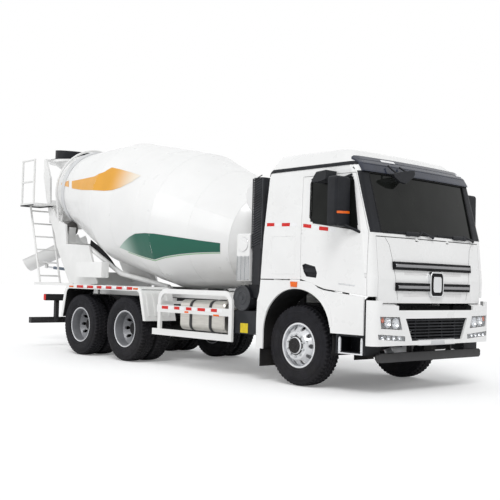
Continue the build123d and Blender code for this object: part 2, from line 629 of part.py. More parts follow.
def plan_face(z, x_front, crown, half_w, x_rear, corner_r):
    """A plan outline with a crowned front and rounded front corners, as a face at height z."""
    side_x = FRONT_AXLE_X + x_front - crown - corner_r
    front_x = FRONT_AXLE_X + x_front - crown
    edge_y = half_w - corner_r
    knee = corner_r * sin(radians(45))
    rear_x = FRONT_AXLE_X + x_rear
    with BuildSketch(Plane.XY.offset(z)) as level:
        with BuildLine():
            Line((rear_x, half_w), (rear_x, -half_w))
            Line((rear_x, -half_w), (side_x, -half_w))
            ThreePointArc((side_x, -half_w), (side_x + knee, -edge_y - knee), (front_x, -edge_y))
            ThreePointArc((front_x, -edge_y), (FRONT_AXLE_X + x_front, 0), (front_x, edge_y))
            ThreePointArc((front_x, edge_y), (side_x + knee, edge_y + knee), (side_x, half_w))
            Line((side_x, half_w), (rear_x, half_w))
        make_face()
    return level.sketch


# Front bumper: a wrapped shell on a cross beam, open at its lamps, grille and top slot
BUMPER_FRONT = 1360.0
BUMPER_HALF_W = 1237.0
BUMPER_REAR = 1196.0
BUMPER_LOW = 604.0
BUMPER_TOP = 1090.0
BUMPER_CORNER_TOP = 1150.0
BUMPER_CORNER_Y = 1104.0
BUMPER_T = 28.0
BUMPER_CORNER = 115.0
BUMPER_CROWN = 22.0
SLOT_LOW = 1035.0
SLOT_HALF_W = 800.0
LAMP_OUTLINE = ((728.0, 795.0), (1120.0, 815.0), (1145.0, 960.0), (778.0, 952.0))
FOG_OUTLINE = ((668.0, 657.0), (1158.0, 686.0), (1165.0, 748.0), (668.0, 716.0))
LOW_GRILLE = ((-534.0, 657.0), (534.0, 657.0), (665.0, 933.0), (-665.0, 933.0))


def bumper_form(inset, spare):
    """The bumper's outer form drawn in by an inset, taller by a spare at both ends."""
    front = BUMPER_FRONT - inset
    half_w = BUMPER_HALF_W - inset
    with BuildPart() as form:
        face = plan_face(BUMPER_LOW - spare, front, BUMPER_CROWN, half_w, BUMPER_REAR - 3 * inset, BUMPER_CORNER)
        extrude(face, amount=BUMPER_CORNER_TOP - BUMPER_LOW + 2 * spare)
    return form.part


BUMPER_OUTER = bumper_form(0, 0)
BUMPER_INNER = bumper_form(BUMPER_T, 10)
LAMP_FACE = bumper_form(4, 0)
LAMP_BACK = bumper_form(BUMPER_T + 50, 10)
BEAM_X = FRONT_AXLE_X + 1270 + SEAT_GAP
BEAM_TOP = 652.0
with BuildPart() as front_bumper:
    add(BUMPER_OUTER)
    add(BUMPER_INNER, mode=Mode.SUBTRACT)
    block(BEAM_X - 200, BEAM_X + 200, -SLOT_HALF_W, SLOT_HALF_W, SLOT_LOW, BUMPER_TOP + 5, Mode.SUBTRACT)
    cut_y = BUMPER_CORNER_Y
    block(BEAM_X - 200, BEAM_X + 200, -cut_y, cut_y, BUMPER_TOP, BUMPER_CORNER_TOP + 5, Mode.SUBTRACT)
    for _, sign in SIDES:
        for outline in (LAMP_OUTLINE, FOG_OUTLINE):
            opening = [(sign * y, z) for y, z in outline]
            cross_plate(opening, BEAM_X - 50, BEAM_X + 200, Mode.SUBTRACT)
    cross_plate(LOW_GRILLE, BEAM_X - 50, BEAM_X + 200, Mode.SUBTRACT)
    block(BEAM_X, BEAM_X + 30, -770, 770, BEAM_TOP - 16, BEAM_TOP)
    for _, sign in SIDES:
        block(BEAM_X, BEAM_X + 62, sign * 700, sign * 770, BEAM_TOP - 42, BEAM_TOP)
front_bumper.part.label = "front_bumper"
export_step(front_bumper.part, "parts/front_bumper.step")

with BuildPart() as headlamps:
    for _, sign in SIDES:
        for outline in (LAMP_OUTLINE, FOG_OUTLINE):
            with BuildSketch(Plane.YZ.offset(BEAM_X - 60)) as lens:
                Polygon(*[(sign * y, z) for y, z in outline], align=None)
                offset(amount=-SEAT_GAP, kind=Kind.INTERSECTION, mode=Mode.REPLACE)
            extrude(lens.sketch, amount=260)
    add(LAMP_FACE, mode=Mode.INTERSECT)
    add(LAMP_BACK, mode=Mode.SUBTRACT)
headlamps.part.label = "headlamps"
export_step(headlamps.part, "parts/headlamps.step")

GRILLE_SLATS = 7
with BuildPart() as bumper_grille:
    for k in range(GRILLE_SLATS):
        slat_z = 676 + k * (933 - 700) / (GRILLE_SLATS - 1)
        slat_y = 534 + (slat_z - 657) / (933 - 657) * (665 - 534) - 9
        block(BEAM_X + 40, BEAM_X + 62, -slat_y, slat_y, slat_z - 9, slat_z + 9)
    for bar_y in (-420, -140, 140, 420):
        block(BEAM_X + 5, BEAM_X + 46, bar_y - 10, bar_y + 10, BEAM_TOP + SEAT_GAP, 925)
bumper_grille.part.label = "bumper_grille"
export_step(bumper_grille.part, "parts/bumper_grille.step")

# Front wheel arches: outer skin with the arch cut out, and a liner behind it
SKIN = (
    (-668.0, 1372.0),
    (70.0, 1372.0),
    (490.0, 1256.0),
    (1150.0, 1186.0),
    (1150.0, 726.0),
    (400.0, 726.0),
    (-400.0, 445.0),
    (-731.0, 445.0),
    (-735.0, 822.0),
    (-726.0, 1094.0),
    (-687.0, 1200.0),
)
ARCH_REAR = ((-601.0, 640.0), (-440.0, 1078.0), (30.0, 1262.0))
ARCH_FRONT = ((30.0, 1262.0), (418.0, 1133.0), (622.0, 726.0))
FLARE_REAR = ((-722.0, 1085.0), (-380.0, 1290.0), (80.0, 1366.0))
FLARE_FRONT = ((80.0, 1366.0), (470.0, 1230.0), (636.0, 800.0))
FLARE_T = 8.0
FLAP_LOW = 205.0
ARCH_R = 660.0
LINER_T = 12.0
LINER_Y0 = 700.0
SKIN_Y0 = 1212.0
SKIN_Y1 = 1232.0
with BuildPart() as front_fenders:
    for _, sign in SIDES:
        side_plate(SKIN, sign * SKIN_Y0, sign * SKIN_Y1)
        with BuildSketch(Plane.XZ.offset(-sign * (SKIN_Y1 - 1))):
            with BuildLine():
                flare_rear = ThreePointArc(*[(FRONT_AXLE_X + x, z) for x, z in FLARE_REAR])
                flare_front = ThreePointArc(*[(FRONT_AXLE_X + x, z) for x, z in FLARE_FRONT])
                Polyline(flare_front @ 1, (FRONT_AXLE_X + 400, 750), (FRONT_AXLE_X - 400, 800), flare_rear @ 0)
            make_face()
        extrude(amount=-sign * (FLARE_T + 1))
        with BuildSketch(Plane.XZ.offset(-sign * (SKIN_Y0 - 20))):
            with BuildLine():
                arch_rear = ThreePointArc(*[(FRONT_AXLE_X + x, z) for x, z in ARCH_REAR])
                arch_front = ThreePointArc(*[(FRONT_AXLE_X + x, z) for x, z in ARCH_FRONT])
                low_x = FRONT_AXLE_X + ARCH_REAR[0][0]
                Polyline(arch_front @ 1, (FRONT_AXLE_X + 622, 400), (low_x, 400), arch_rear @ 0)
            make_face()
        extrude(amount=-sign * 60, mode=Mode.SUBTRACT)
        arch_z = 1262 - ARCH_R
        with BuildSketch(Plane.XZ.offset(-sign * LINER_Y0)):
            with BuildLine():
                low = ThreePointArc(
                    (FRONT_AXLE_X - 10 - ARCH_R, arch_z + 130),
                    (FRONT_AXLE_X - 10, 1262),
                    (FRONT_AXLE_X - 10 + ARCH_R, arch_z + 130),
                )
                top = ThreePointArc(
                    (FRONT_AXLE_X - 10 + ARCH_R + LINER_T, arch_z + 130),
                    (FRONT_AXLE_X - 10, 1262 + LINER_T),
                    (FRONT_AXLE_X - 10 - ARCH_R - LINER_T, arch_z + 130),
                )
                Line(low @ 1, top @ 0)
                Line(top @ 1, low @ 0)
            make_face()
        extrude(amount=-sign * (SKIN_Y0 + 2 - LINER_Y0))
        flap_x = FRONT_AXLE_X - 10 - ARCH_R
        block(flap_x - LINER_T, flap_x, sign * 760, sign * 1195, FLAP_LOW, arch_z + 140)
        stay = sign * (RAIL_OUT_Y + SEAT_GAP)
        block(flap_x - LINER_T, flap_x + 40, stay, sign * (LINER_Y0 + 5), 780, 830)
        block(FRONT_AXLE_X + 662, FRONT_AXLE_X + 720, stay, sign * (LINER_Y0 + 5), 735, 830)
        block(FRONT_AXLE_X + 640, FRONT_AXLE_X + 674, sign * 640, sign * (LINER_Y0 + 5), 722, 830)
front_fenders.part.label = "front_fenders"
export_step(front_fenders.part, "parts/front_fenders.step")

# Cab steps, two treads let into a box ahead of each front wheel
with BuildPart() as cab_steps:
    for _, sign in SIDES:
        block(FRONT_AXLE_X + 700, FRONT_AXLE_X + 1145, sign * 900, sign * 1211, 483, 1150)
        block(FRONT_AXLE_X + 730, FRONT_AXLE_X + 1115, sign * 960, sign * 1230, 510, 700, Mode.SUBTRACT)
        block(FRONT_AXLE_X + 730, FRONT_AXLE_X + 1115, sign * 1000, sign * 1230, 728, 900, Mode.SUBTRACT)
        stay = sign * (RAIL_OUT_Y + SEAT_GAP)
        block(FRONT_AXLE_X + 900, FRONT_AXLE_X + 960, stay, sign * 905, 800, 880)
cab_steps.part.label = "cab_steps"
export_step(cab_steps.part, "parts/cab_steps.step")

# Intake column behind the cab, with the round air cleaner and the box under it
with BuildPart() as air_intake:
    block(FRONT_AXLE_X - 930, FRONT_AXLE_X - 720, -1180, -905, 1300, 2780)
    chamfer(air_intake.edges().filter_by(Axis.Z), 30)
    block(FRONT_AXLE_X - 1000, FRONT_AXLE_X - 760, -1150, -935, 1120, 1302)
    rod((FRONT_AXLE_X - 1080, -1195, 1110), (FRONT_AXLE_X - 1080, -600, 1110), 180)
    block(FRONT_AXLE_X - 1250, FRONT_AXLE_X - 764, -1190, -860, 615, 936)
    block(FRONT_AXLE_X - 1120, FRONT_AXLE_X - 1040, -610, -RAIL_OUT_Y - SEAT_GAP, 960, 1045)
air_intake.part.label = "air_intake"
export_step(air_intake.part, "parts/air_intake.step")

# The drum's axis, rising to the rear
TILT_COS = cos(radians(DRUM_TILT))
TILT_SIN = sin(radians(DRUM_TILT))
DRUM_AXIS = (-TILT_COS, 0, TILT_SIN)
DRUM_PLANE = Plane(origin=(DRUM_X, 0, DRUM_Z), x_dir=DRUM_AXIS, z_dir=(0, -1, 0))


def drum_point(s):
    """A point on the drum's axis, s from its front head."""
    return (DRUM_X - s * TILT_COS, 0, DRUM_Z + s * TILT_SIN)


def drum_turned(profile, mode=Mode.ADD):
    """A profile of distance along the drum's axis and radius, turned about that axis."""
    with BuildSketch(DRUM_PLANE) as section:
        Polygon(*profile, align=None)
    revolve(section.sketch, axis=Axis((DRUM_X, 0, DRUM_Z), DRUM_AXIS), mode=mode)


# Water tank across the truck, on the mixer's subframe with its front pedestal, and the cooler
WATER_X = FRONT_AXLE_X - 1140.0
WATER_Z = 2580.0
WATER_R = 265.0
WATER_HALF_L = 885.0
with BuildPart() as water_tank:
    rod((WATER_X, -WATER_HALF_L, WATER_Z), (WATER_X, WATER_HALF_L, WATER_Z), WATER_R)
    fillet(water_tank.faces().filter_by(Axis.Y).edges(), 45)
    rod((WATER_X, -300, WATER_Z), (WATER_X, -300, WATER_Z + WATER_R + 45), 70)
water_tank.part.label = "water_tank"
export_step(water_tank.part, "parts/water_tank.step")

SUB_Y = 345.0
SHELF_Z = 1590.0
PEDESTAL_SIDE = ((-1450.0, 1169.0), (-950.0, 1169.0), (-1000.0, 1960.0), (-1350.0, 1960.0))
with BuildPart() as mixer_subframe:
    for _, sign in SIDES:
        sub_x = FRONT_AXLE_X - 6700
        block(sub_x, SUB_FRONT_X, sign * SUB_Y, sign * (SUB_Y + SUB_W), FRAME_TOP + SEAT_GAP, SUB_TOP)
    for offset_x in (-960, -2250, -3450, -4900, -5600, -6500):
        member_x = FRONT_AXLE_X + offset_x
        block(member_x - 40, member_x + 40, -SUB_Y - 1, SUB_Y + 1, FRAME_TOP + 20, SUB_TOP - 30)
    for _, sign in SIDES:
        side_plate(PEDESTAL_SIDE, sign * 365, sign * 395)
        block(WATER_X - 50, WATER_X + 50, sign * 365, sign * 425, SUB_TOP - 1, 2450)
    block(FRONT_AXLE_X - 1390, FRONT_AXLE_X - 985, -366, 366, SHELF_Z - 30, SHELF_Z)
    block(FRONT_AXLE_X - 1440, FRONT_AXLE_X - 960, -366, 366, SUB_TOP - 1, SUB_TOP + 40)
    saddle_r = WATER_R + SEAT_GAP
    rod((WATER_X, -500, WATER_Z), (WATER_X, 500, WATER_Z), saddle_r, Mode.SUBTRACT)
    for arm_z in (1480, 1800):
        block(WATER_X - 40, WATER_X + 40, -851, -390, arm_z, arm_z + 60)
mixer_subframe.part.label = "mixer_subframe"
export_step(mixer_subframe.part, "parts/mixer_subframe.step")

with BuildPart() as cooler:
    block(FRONT_AXLE_X - 1200, FRONT_AXLE_X - 936, -1200, -851.3, 1350, 2010)
    chamfer(cooler.edges().filter_by(Axis.X), 25)
    rod((FRONT_AXLE_X - 1068, -1215, 1860), (FRONT_AXLE_X - 1068, -1150, 1860), 95)
cooler.part.label = "cooler"
export_step(cooler.part, "parts/cooler.step")

# Drum drive on the pedestal's shelf: gearbox with the bore for the drum's stub, and motor
DRIVE_R = 220.0
DRIVE_PROFILE = (
    (-620.0, 0.0),
    (-620.0, 105.0),
    (-430.0, 105.0),
    (-420.0, DRIVE_R - 30),
    (-300.0, DRIVE_R),
    (-60.0, DRIVE_R),
    (-20.0, 170.0),
    (-20.0, STUB_R + RUN_FIT),
    (-STUB_L - 10, STUB_R + RUN_FIT),
    (-STUB_L - 10, 0.0),
)
with BuildPart() as drum_drive:
    drum_turned(DRIVE_PROFILE)
    block(FRONT_AXLE_X - 1345, FRONT_AXLE_X - 1040, -150, 150, SHELF_Z + SEAT_GAP, 1745)
drum_drive.part.label = "drum_drive"
export_step(drum_drive.part, "parts/drum_drive.step")

# Drum: stub, closed front head, cones and cylinder, open at the rear
DRUM_LIP = 20.0
DRUM_OUTLINE = (  # along the axis, radius
    (0.0, DRUM_HEAD_R),
    (DRUM_SHOULDER_S, DRUM_SHOULDER_R),
    (DRUM_BODY_S0, DRUM_R),
    (DRUM_BODY_S1, DRUM_R),
    (DRUM_TAPER_S, DRUM_TAPER_R),
    (DRUM_MOUTH_S, DRUM_MOUTH_R),
)
DRUM_TAIL_SLOPE = (DRUM_TAPER_R - DRUM_MOUTH_R) / (DRUM_MOUTH_S - DRUM_TAPER_S)
with BuildPart() as drum_shell:
    inside = [(s, r - DRUM_WALL) for s, r in reversed(DRUM_OUTLINE[1:])]
    lip_s = DRUM_MOUTH_S - 34
    lip_r = DRUM_MOUTH_R + 34 * DRUM_TAIL_SLOPE
    lip = [(lip_s, lip_r), (lip_s, lip_r + DRUM_LIP), (DRUM_MOUTH_S, lip_r + DRUM_LIP)]
    head = [(DRUM_WALL, DRUM_HEAD_R - 3), (DRUM_WALL, 0)]
    stub = [(-STUB_L, 0), (-STUB_L, STUB_R), (0, STUB_R)]
    drum_turned(stub + list(DRUM_OUTLINE[:-1]) + lip + inside + head)
drum_shell.part.label = "drum_shell"
export_step(drum_shell.part, "parts/drum_shell.step")

RING_S0 = RING_S - RING_W / 2
RING_S1 = RING_S + RING_W / 2
RING_FRONT_R = DRUM_MOUTH_R + (DRUM_MOUTH_S - RING_S0) * DRUM_TAIL_SLOPE
RING_REAR_R = DRUM_MOUTH_R + (DRUM_MOUTH_S - RING_S1) * DRUM_TAIL_SLOPE
with BuildPart() as drum_ring:
    seat = [(RING_S0, RING_FRONT_R + SEAT_GAP), (RING_S1, RING_REAR_R + SEAT_GAP)]
    drum_turned([seat[0], (RING_S0, RING_R), (RING_S1, RING_R), seat[1]])
drum_ring.part.label = "drum_ring"
export_step(drum_ring.part, "parts/drum_ring.step")

# Two rollers under the ring
ROLLER_PIN_R = 30.0
ROLLER_REACH = RING_R + ROLLER_R + SEAT_GAP
ROLLER_DROP = ROLLER_REACH * cos(radians(ROLLER_ANGLE))
ROLLER_Y = ROLLER_REACH * sin(radians(ROLLER_ANGLE))
RING_MIDDLE = drum_point(RING_S)
ROLLER_X = RING_MIDDLE[0] - ROLLER_DROP * TILT_SIN
ROLLER_Z = RING_MIDDLE[2] - ROLLER_DROP * TILT_COS


def roller_bar(sign, back, front, radius, mode=Mode.ADD):
    """A round bar on a roller's axis, between two distances from its middle."""
    y = sign * ROLLER_Y
    low = (ROLLER_X + back * TILT_COS, y, ROLLER_Z - back * TILT_SIN)
    high = (ROLLER_X + front * TILT_COS, y, ROLLER_Z - front * TILT_SIN)
    rod(low, high, radius, mode)


for side, sign in SIDES:
    with BuildPart() as roller:
        roller_bar(sign, -ROLLER_W / 2, ROLLER_W / 2, ROLLER_R)
        roller_bar(sign, -ROLLER_W / 2 - 12, ROLLER_W / 2 + 12, 60)
        roller_bar(sign, -ROLLER_W, ROLLER_W, ROLLER_PIN_R + RUN_FIT, Mode.SUBTRACT)
    roller.part.label = f"roller_{side}"
    export_step(roller.part, f"parts/roller_{side}.step")

# Rear pedestal: side plates, roller brackets, the arm with the chute's post, and a locker
PLATE_Y0 = 650.0
PLATE_Y1 = 690.0
REAR_SIDE = (
    (-7660.0, 3690.0),
    (-7640.0, 3300.0),
    (-7500.0, 2850.0),
    (-7360.0, 2500.0),
    (-7150.0, 2200.0),
    (-7080.0, 1980.0),
    (-6500.0, 1171.0),
    (-5800.0, 1171.0),
    (-5790.0, 1226.0),
    (-5560.0, 1240.0),
    (-5900.0, 1940.0),
    (-6700.0, 1980.0),
    (-6750.0, 2350.0),
    (-7050.0, 2450.0),
    (-7360.0, 2750.0),
    (-7400.0, 3300.0),
    (-7590.0, 3690.0),
)
ARM_TOP = 1460.0
with BuildPart() as rear_pedestal:
    for _, sign in SIDES:
        side_plate(REAR_SIDE, sign * PLATE_Y0, sign * PLATE_Y1)
        knee = (FRONT_AXLE_X - 5050, sign * 520, 1430)
        rod((FRONT_AXLE_X - 5960, sign * 610, 1890), knee, 45)
        rod(knee, (FRONT_AXLE_X - 3800, sign * 400, 1215), 45)
        roller_bar(sign, -115, 115, ROLLER_PIN_R)
        for face_s in (-115, 85):
            foot_x = ROLLER_X + face_s * TILT_COS
            foot_z = ROLLER_Z - face_s * TILT_SIN
            foot = (foot_x, sign * ROLLER_Y, foot_z)
            leg_plane = Plane(origin=foot, x_dir=(0, 1, 0), z_dir=(TILT_COS, 0, -TILT_SIN))
            with BuildSketch(leg_plane):
                Polygon((-70, 0), (-70, 50), (70, 50), (70, 0), (110, -330), (-110, -330), align=None)
            extrude(amount=30)
    block(FRONT_AXLE_X - 7120, FRONT_AXLE_X - 6820, -PLATE_Y0 - 2, PLATE_Y0 + 2, 1900, 2010)
    block(FRONT_AXLE_X - 6560, FRONT_AXLE_X - 6430, -PLATE_Y0 - 2, PLATE_Y0 + 2, SUB_TOP + SEAT_GAP, ARM_TOP)
    block(FRONT_AXLE_X - 5680, FRONT_AXLE_X - 5600, -430, 430, SUB_TOP + SEAT_GAP, 1290)
    block(FRONT_AXLE_X - 5680, FRONT_AXLE_X - 5600, -PLATE_Y0 - 2, PLATE_Y0 + 2, 1230, 1290)
    for _, sign in SIDES:
        block(FRONT_AXLE_X - 3860, FRONT_AXLE_X - 3760, sign * 350, sign * 420, SUB_TOP + SEAT_GAP, 1230)
    block(CHUTE_X - 75, FRONT_AXLE_X - 6500, -75, 75, 1330, ARM_TOP)
    rod((CHUTE_X, 0, ARM_TOP - 5), (CHUTE_X, 0, 1765), POST_R)
    block(FRONT_AXLE_X - 6060, FRONT_AXLE_X - 5210, -840, -PLATE_Y1 + 1, 1350, 1630)
rear_pedestal.part.label = "rear_pedestal"
export_step(rear_pedestal.part, "parts/rear_pedestal.step")

# Charge hopper into the drum's mouth, and the collector under the mouth
HOPPER_WALL = 8.0
HOPPER_END_X = FRONT_AXLE_X - 6970.0
HOPPER_END_Z = 3280.0
HOPPER_END_R = 200.0
COLLECTOR_HALF_W = 420.0
COLLECTOR_Z = 2440.0
OUTLET_R = 150.0
OUTLET_Z = 2330.0


def funnel(wall):
    """The hopper's funnel, drawn in by a wall."""
    rim = Plane((HOPPER_X, 0, HOPPER_RIM_Z), x_dir=(0, 1, 0), z_dir=(0, 0, -1))
    end_dir = (HOPPER_END_X - HOPPER_X, 0, HOPPER_END_Z - HOPPER_RIM_Z)
    end = Plane((HOPPER_END_X, 0, HOPPER_END_Z), x_dir=(0, 1, 0), z_dir=end_dir)
    with BuildPart() as form:
        with BuildSketch(rim) as top:
            Circle(HOPPER_RIM_R - wall)
        with BuildSketch(end) as low:
            Circle(HOPPER_END_R - wall)
        loft([top.sketch.face(), low.sketch.face()], ruled=True)
    return form.part


def collector(wall):
    """The collector's funnel from a rectangle to its round outlet, drawn in by a wall."""
    middle_x = FRONT_AXLE_X - 7560
    with BuildPart() as form:
        with BuildSketch(Plane.XY.offset(COLLECTOR_Z)) as top:
            with Locations((middle_x, 0)):
                Rectangle(580 - 2 * wall, 2 * (COLLECTOR_HALF_W - wall))
        with BuildSketch(Plane.XY.offset(OUTLET_Z)) as low:
            with Locations((CHUTE_X, 0)):
                RectangleRounded(2 * (OUTLET_R - wall), 2 * (OUTLET_R - wall), OUTLET_R - wall - 1)
        loft([top.sketch.face(), low.sketch.face()], ruled=True)
    return form.part


FUNNEL_OUTER = funnel(0)
FUNNEL_INNER = funnel(HOPPER_WALL)
with BuildPart() as hopper:
    add(FUNNEL_OUTER)
    with BuildSketch(Plane.XY.offset(HOPPER_RIM_Z - 50)):
        with Locations((HOPPER_X, 0)):
            Circle(HOPPER_RIM_R + 20)
    extrude(amount=50)
    add(FUNNEL_INNER, mode=Mode.SUBTRACT)
    for _, sign in SIDES:
        lug_out = sign * (PLATE_Y0 - SEAT_GAP)
        block(HOPPER_X - 40, HOPPER_X + 25, sign * 508, lug_out, HOPPER_RIM_Z - 50, HOPPER_RIM_Z - 12)
hopper.part.label = "hopper"
export_step(hopper.part, "parts/hopper.step")

SKIRT = (
    (-7850.0, 2436.0),
    (-7340.0, 2436.0),
    (-7290.0, 2700.0),
    (-7500.0, 2860.0),
    (-7850.0, 2900.0),
)
with BuildPart() as discharge_funnel:
    add(collector(0))
    add(collector(HOPPER_WALL), mode=Mode.SUBTRACT)
    with BuildSketch(Plane.XY.offset(OUTLET_Z - 1)):
        with Locations((CHUTE_X, 0)):
            Circle(OUTLET_R - HOPPER_WALL)
    extrude(amount=30, mode=Mode.SUBTRACT)
    for _, sign in SIDES:
        outer_y = sign * COLLECTOR_HALF_W
        side_plate(SKIRT, outer_y - sign * HOPPER_WALL, outer_y)
        lug_out = sign * (PLATE_Y0 - SEAT_GAP)
        block(FRONT_AXLE_X - 7398, FRONT_AXLE_X - 7350, outer_y - sign * 4, lug_out, 2570, 2630)
    rear_x = FRONT_AXLE_X - 7850
    block(rear_x, rear_x + HOPPER_WALL, -COLLECTOR_HALF_W, COLLECTOR_HALF_W, 2436, 2900)
discharge_funnel.part.label = "discharge_funnel"
export_step(discharge_funnel.part, "parts/discharge_funnel.step")

with BuildPart() as hopper_collar:
    with BuildSketch(Plane.XY.offset(HOPPER_RIM_Z + SEAT_GAP)):
        with Locations((HOPPER_X, 0)):
            Circle(HOPPER_RIM_R + 10)
            Circle(COLLAR_R - HOPPER_WALL, mode=Mode.SUBTRACT)
    extrude(amount=12)
    with BuildSketch(Plane.XY.offset(HOPPER_RIM_Z + 10)):
        with Locations((HOPPER_X, 0)):
            Circle(COLLAR_R)
            Circle(COLLAR_R - HOPPER_WALL, mode=Mode.SUBTRACT)
    extrude(amount=COLLAR_TOP - HOPPER_RIM_Z - 10)
    top_z = COLLAR_TOP + 20
    slant = ((-8100, top_z), (-7100, top_z), (-7100, top_z - COLLAR_SLANT), (-8100, top_z - 18))
    side_plate(slant, -600, 600, Mode.SUBTRACT)
hopper_collar.part.label = "hopper_collar"
export_step(hopper_collar.part, "parts/hopper_collar.step")

# Ladder, platform and handrail at the right rear corner
RAIL_R = 20.0
LADDER_FOOT = (-7250.0, 1210.0)
LADDER_HEAD = (-7735.0, 2745.0)
RUNGS = 6
with BuildPart() as ladder:
    for rail_y in (-910, -470):
        foot = (FRONT_AXLE_X + LADDER_FOOT[0], rail_y, LADDER_FOOT[1])
        head = (FRONT_AXLE_X + LADDER_HEAD[0], rail_y, LADDER_HEAD[1])
        rod(foot, head, RAIL_R)
    for k in range(RUNGS):
        along = (k + 0.6) / RUNGS
        rung_x = FRONT_AXLE_X + LADDER_FOOT[0] + along * (LADDER_HEAD[0] - LADDER_FOOT[0])
        rung_z = LADDER_FOOT[1] + along * (LADDER_HEAD[1] - LADDER_FOOT[1])
        rod((rung_x, -910, rung_z), (rung_x, -470, rung_z), 15)
    block(FRONT_AXLE_X - 7280, FRONT_AXLE_X - 7220, -1020, -450, 1185, 1235)
    block(FRONT_AXLE_X - 7280, FRONT_AXLE_X - 5880, -1020, -975, 1185, 1235)
    block(FRONT_AXLE_X - 6500, FRONT_AXLE_X - 6440, -980, -PLATE_Y1 - SEAT_GAP, 1185, 1235)
    block(FRONT_AXLE_X - 7750, FRONT_AXLE_X - 7250, -1120, -PLATE_Y1 - SEAT_GAP, 2735, 2765)
    block(FRONT_AXLE_X - 7750, FRONT_AXLE_X - 7480, -PLATE_Y1 - 5, -450, 2735, 2765)
    for post_x in (-7730, -7270):
        rod((FRONT_AXLE_X + post_x, -1100, 2750), (FRONT_AXLE_X + post_x, -1100, 3600), RAIL_R)
    for bar_z in (3180, 3600):
        rod((FRONT_AXLE_X - 7750, -1100, bar_z), (FRONT_AXLE_X - 7250, -1100, bar_z), RAIL_R)
ladder.part.label = "ladder"
export_step(ladder.part, "parts/ladder.step")

# Discharge end, laid out along the chute: h from the post, t across, z up
SLEW = Location((CHUTE_X, 0, 0), (0, 0, 180 + CHUTE_SLEW))
SLOPE_TAN = tan(radians(CHUTE_SLOPE))
SLOPE_COS = cos(radians(CHUTE_SLOPE))
SLOPE_SIN = sin(radians(CHUTE_SLOPE))


def slewed(h, t, z):
    """A point of the discharge end in the shared frame."""
    return tuple((SLEW * Location((h, t, z))).position)


def slewed_box(h0, h1, t0, t1, z0, z1, mode=Mode.ADD):
    """A box along the chute, in the open part."""
    with Locations(SLEW * Location(((h0 + h1) / 2, (t0 + t1) / 2, (z0 + z1) / 2))):
        Box(abs(h1 - h0), abs(t1 - t0), abs(z1 - z0), mode=mode)


SLEEVE_R = 62.0
SLEEVE_LOW = ARM_TOP + MOVE_GAP
SLEEVE_TOP = 1770.0
LUG_HALF_W = 50.0
YOKE_GAP = 1.0
JACK_HALF_W = 20.0
with BuildPart() as chute_swivel:
    rod((CHUTE_X, 0, SLEEVE_LOW), (CHUTE_X, 0, SLEEVE_TOP), SLEEVE_R)
    for t0, t1 in ((-80, -LUG_HALF_W - YOKE_GAP), (80, LUG_HALF_W + YOKE_GAP)):
        slewed_box(-30, 30, t0, t1, SLEEVE_TOP - 90, CHUTE_PIN_Z)
        rod(slewed(0, t0, CHUTE_PIN_Z), slewed(0, t1, CHUTE_PIN_Z), 30)
        slewed_box(-30, 30, t0 / 2, t1 / 2, SLEEVE_TOP - 90, SLEEVE_TOP - 50)
    rod(slewed(0, -80, CHUTE_PIN_Z), slewed(0, 80, CHUTE_PIN_Z), CHUTE_PIN_R)
    for t0, t1 in ((-38, -JACK_HALF_W - YOKE_GAP), (JACK_HALF_W + YOKE_GAP, 38)):
        slewed_box(46, JACK_LOW_H + 24, t0, t1, JACK_LOW_Z - 24, JACK_LOW_Z + 24)
    rod(slewed(JACK_LOW_H, -38, JACK_LOW_Z), slewed(JACK_LOW_H, 38, JACK_LOW_Z), JACK_PIN_R)
    rod((CHUTE_X, 0, SLEEVE_LOW), (CHUTE_X, 0, SLEEVE_TOP - 4), POST_R + RUN_FIT, Mode.SUBTRACT)
chute_swivel.part.label = "chute_swivel"
export_step(chute_swivel.part, "parts/chute_swivel.step")

CHUTE_LIP = 22.0
CHUTE_START = slewed(-CHUTE_HEAD * SLOPE_COS, 0, CHUTE_RIM_Z + CHUTE_HEAD * SLOPE_SIN)
CHUTE_AIM = Vector(*slewed(SLOPE_COS, 0, -SLOPE_SIN)) - Vector(*slewed(0, 0, 0))
CHUTE_ACROSS = Vector(*slewed(0, 1, 0)) - Vector(*slewed(0, 0, 0))
TROUGH_Z = CHUTE_RIM_Z - (CHUTE_R + CHUTE_T) / SLOPE_COS
with BuildPart() as chute:
    with BuildSketch(Plane(origin=CHUTE_START, x_dir=CHUTE_ACROSS, z_dir=CHUTE_AIM)) as trough:
        Circle(CHUTE_R + CHUTE_T)
        Circle(CHUTE_R, mode=Mode.SUBTRACT)
        with Locations((0, CHUTE_R)):
            Rectangle(3 * CHUTE_R, 2 * CHUTE_R, mode=Mode.SUBTRACT)
        for edge_x in (-CHUTE_R - CHUTE_LIP / 2, CHUTE_R + CHUTE_LIP / 2):
            with Locations((edge_x, -6)):
                Rectangle(CHUTE_LIP, 12)
    extrude(amount=CHUTE_HEAD + CHUTE_L)
    slewed_box(-35, 35, -LUG_HALF_W, LUG_HALF_W, CHUTE_PIN_Z, TROUGH_Z - 35 * SLOPE_TAN + 6)
    lug_in = slewed(0, -LUG_HALF_W, CHUTE_PIN_Z)
    lug_out = slewed(0, LUG_HALF_W, CHUTE_PIN_Z)
    rod(lug_in, lug_out, 35)
    rod(lug_in, lug_out, CHUTE_PIN_R + RUN_FIT, Mode.SUBTRACT)
    eye_top = TROUGH_Z - JACK_TOP_H * SLOPE_TAN
    for t0, t1 in ((-44, -JACK_HALF_W - 6), (JACK_HALF_W + 6, 44)):
        slewed_box(JACK_TOP_H - 22, JACK_TOP_H + 22, t0, t1, JACK_TOP_Z - 22, eye_top - 22 * SLOPE_TAN + 8)
    rod(slewed(JACK_TOP_H, -44, JACK_TOP_Z), slewed(JACK_TOP_H, 44, JACK_TOP_Z), JACK_PIN_R)
chute.part.label = "chute"
export_step(chute.part, "parts/chute.step")

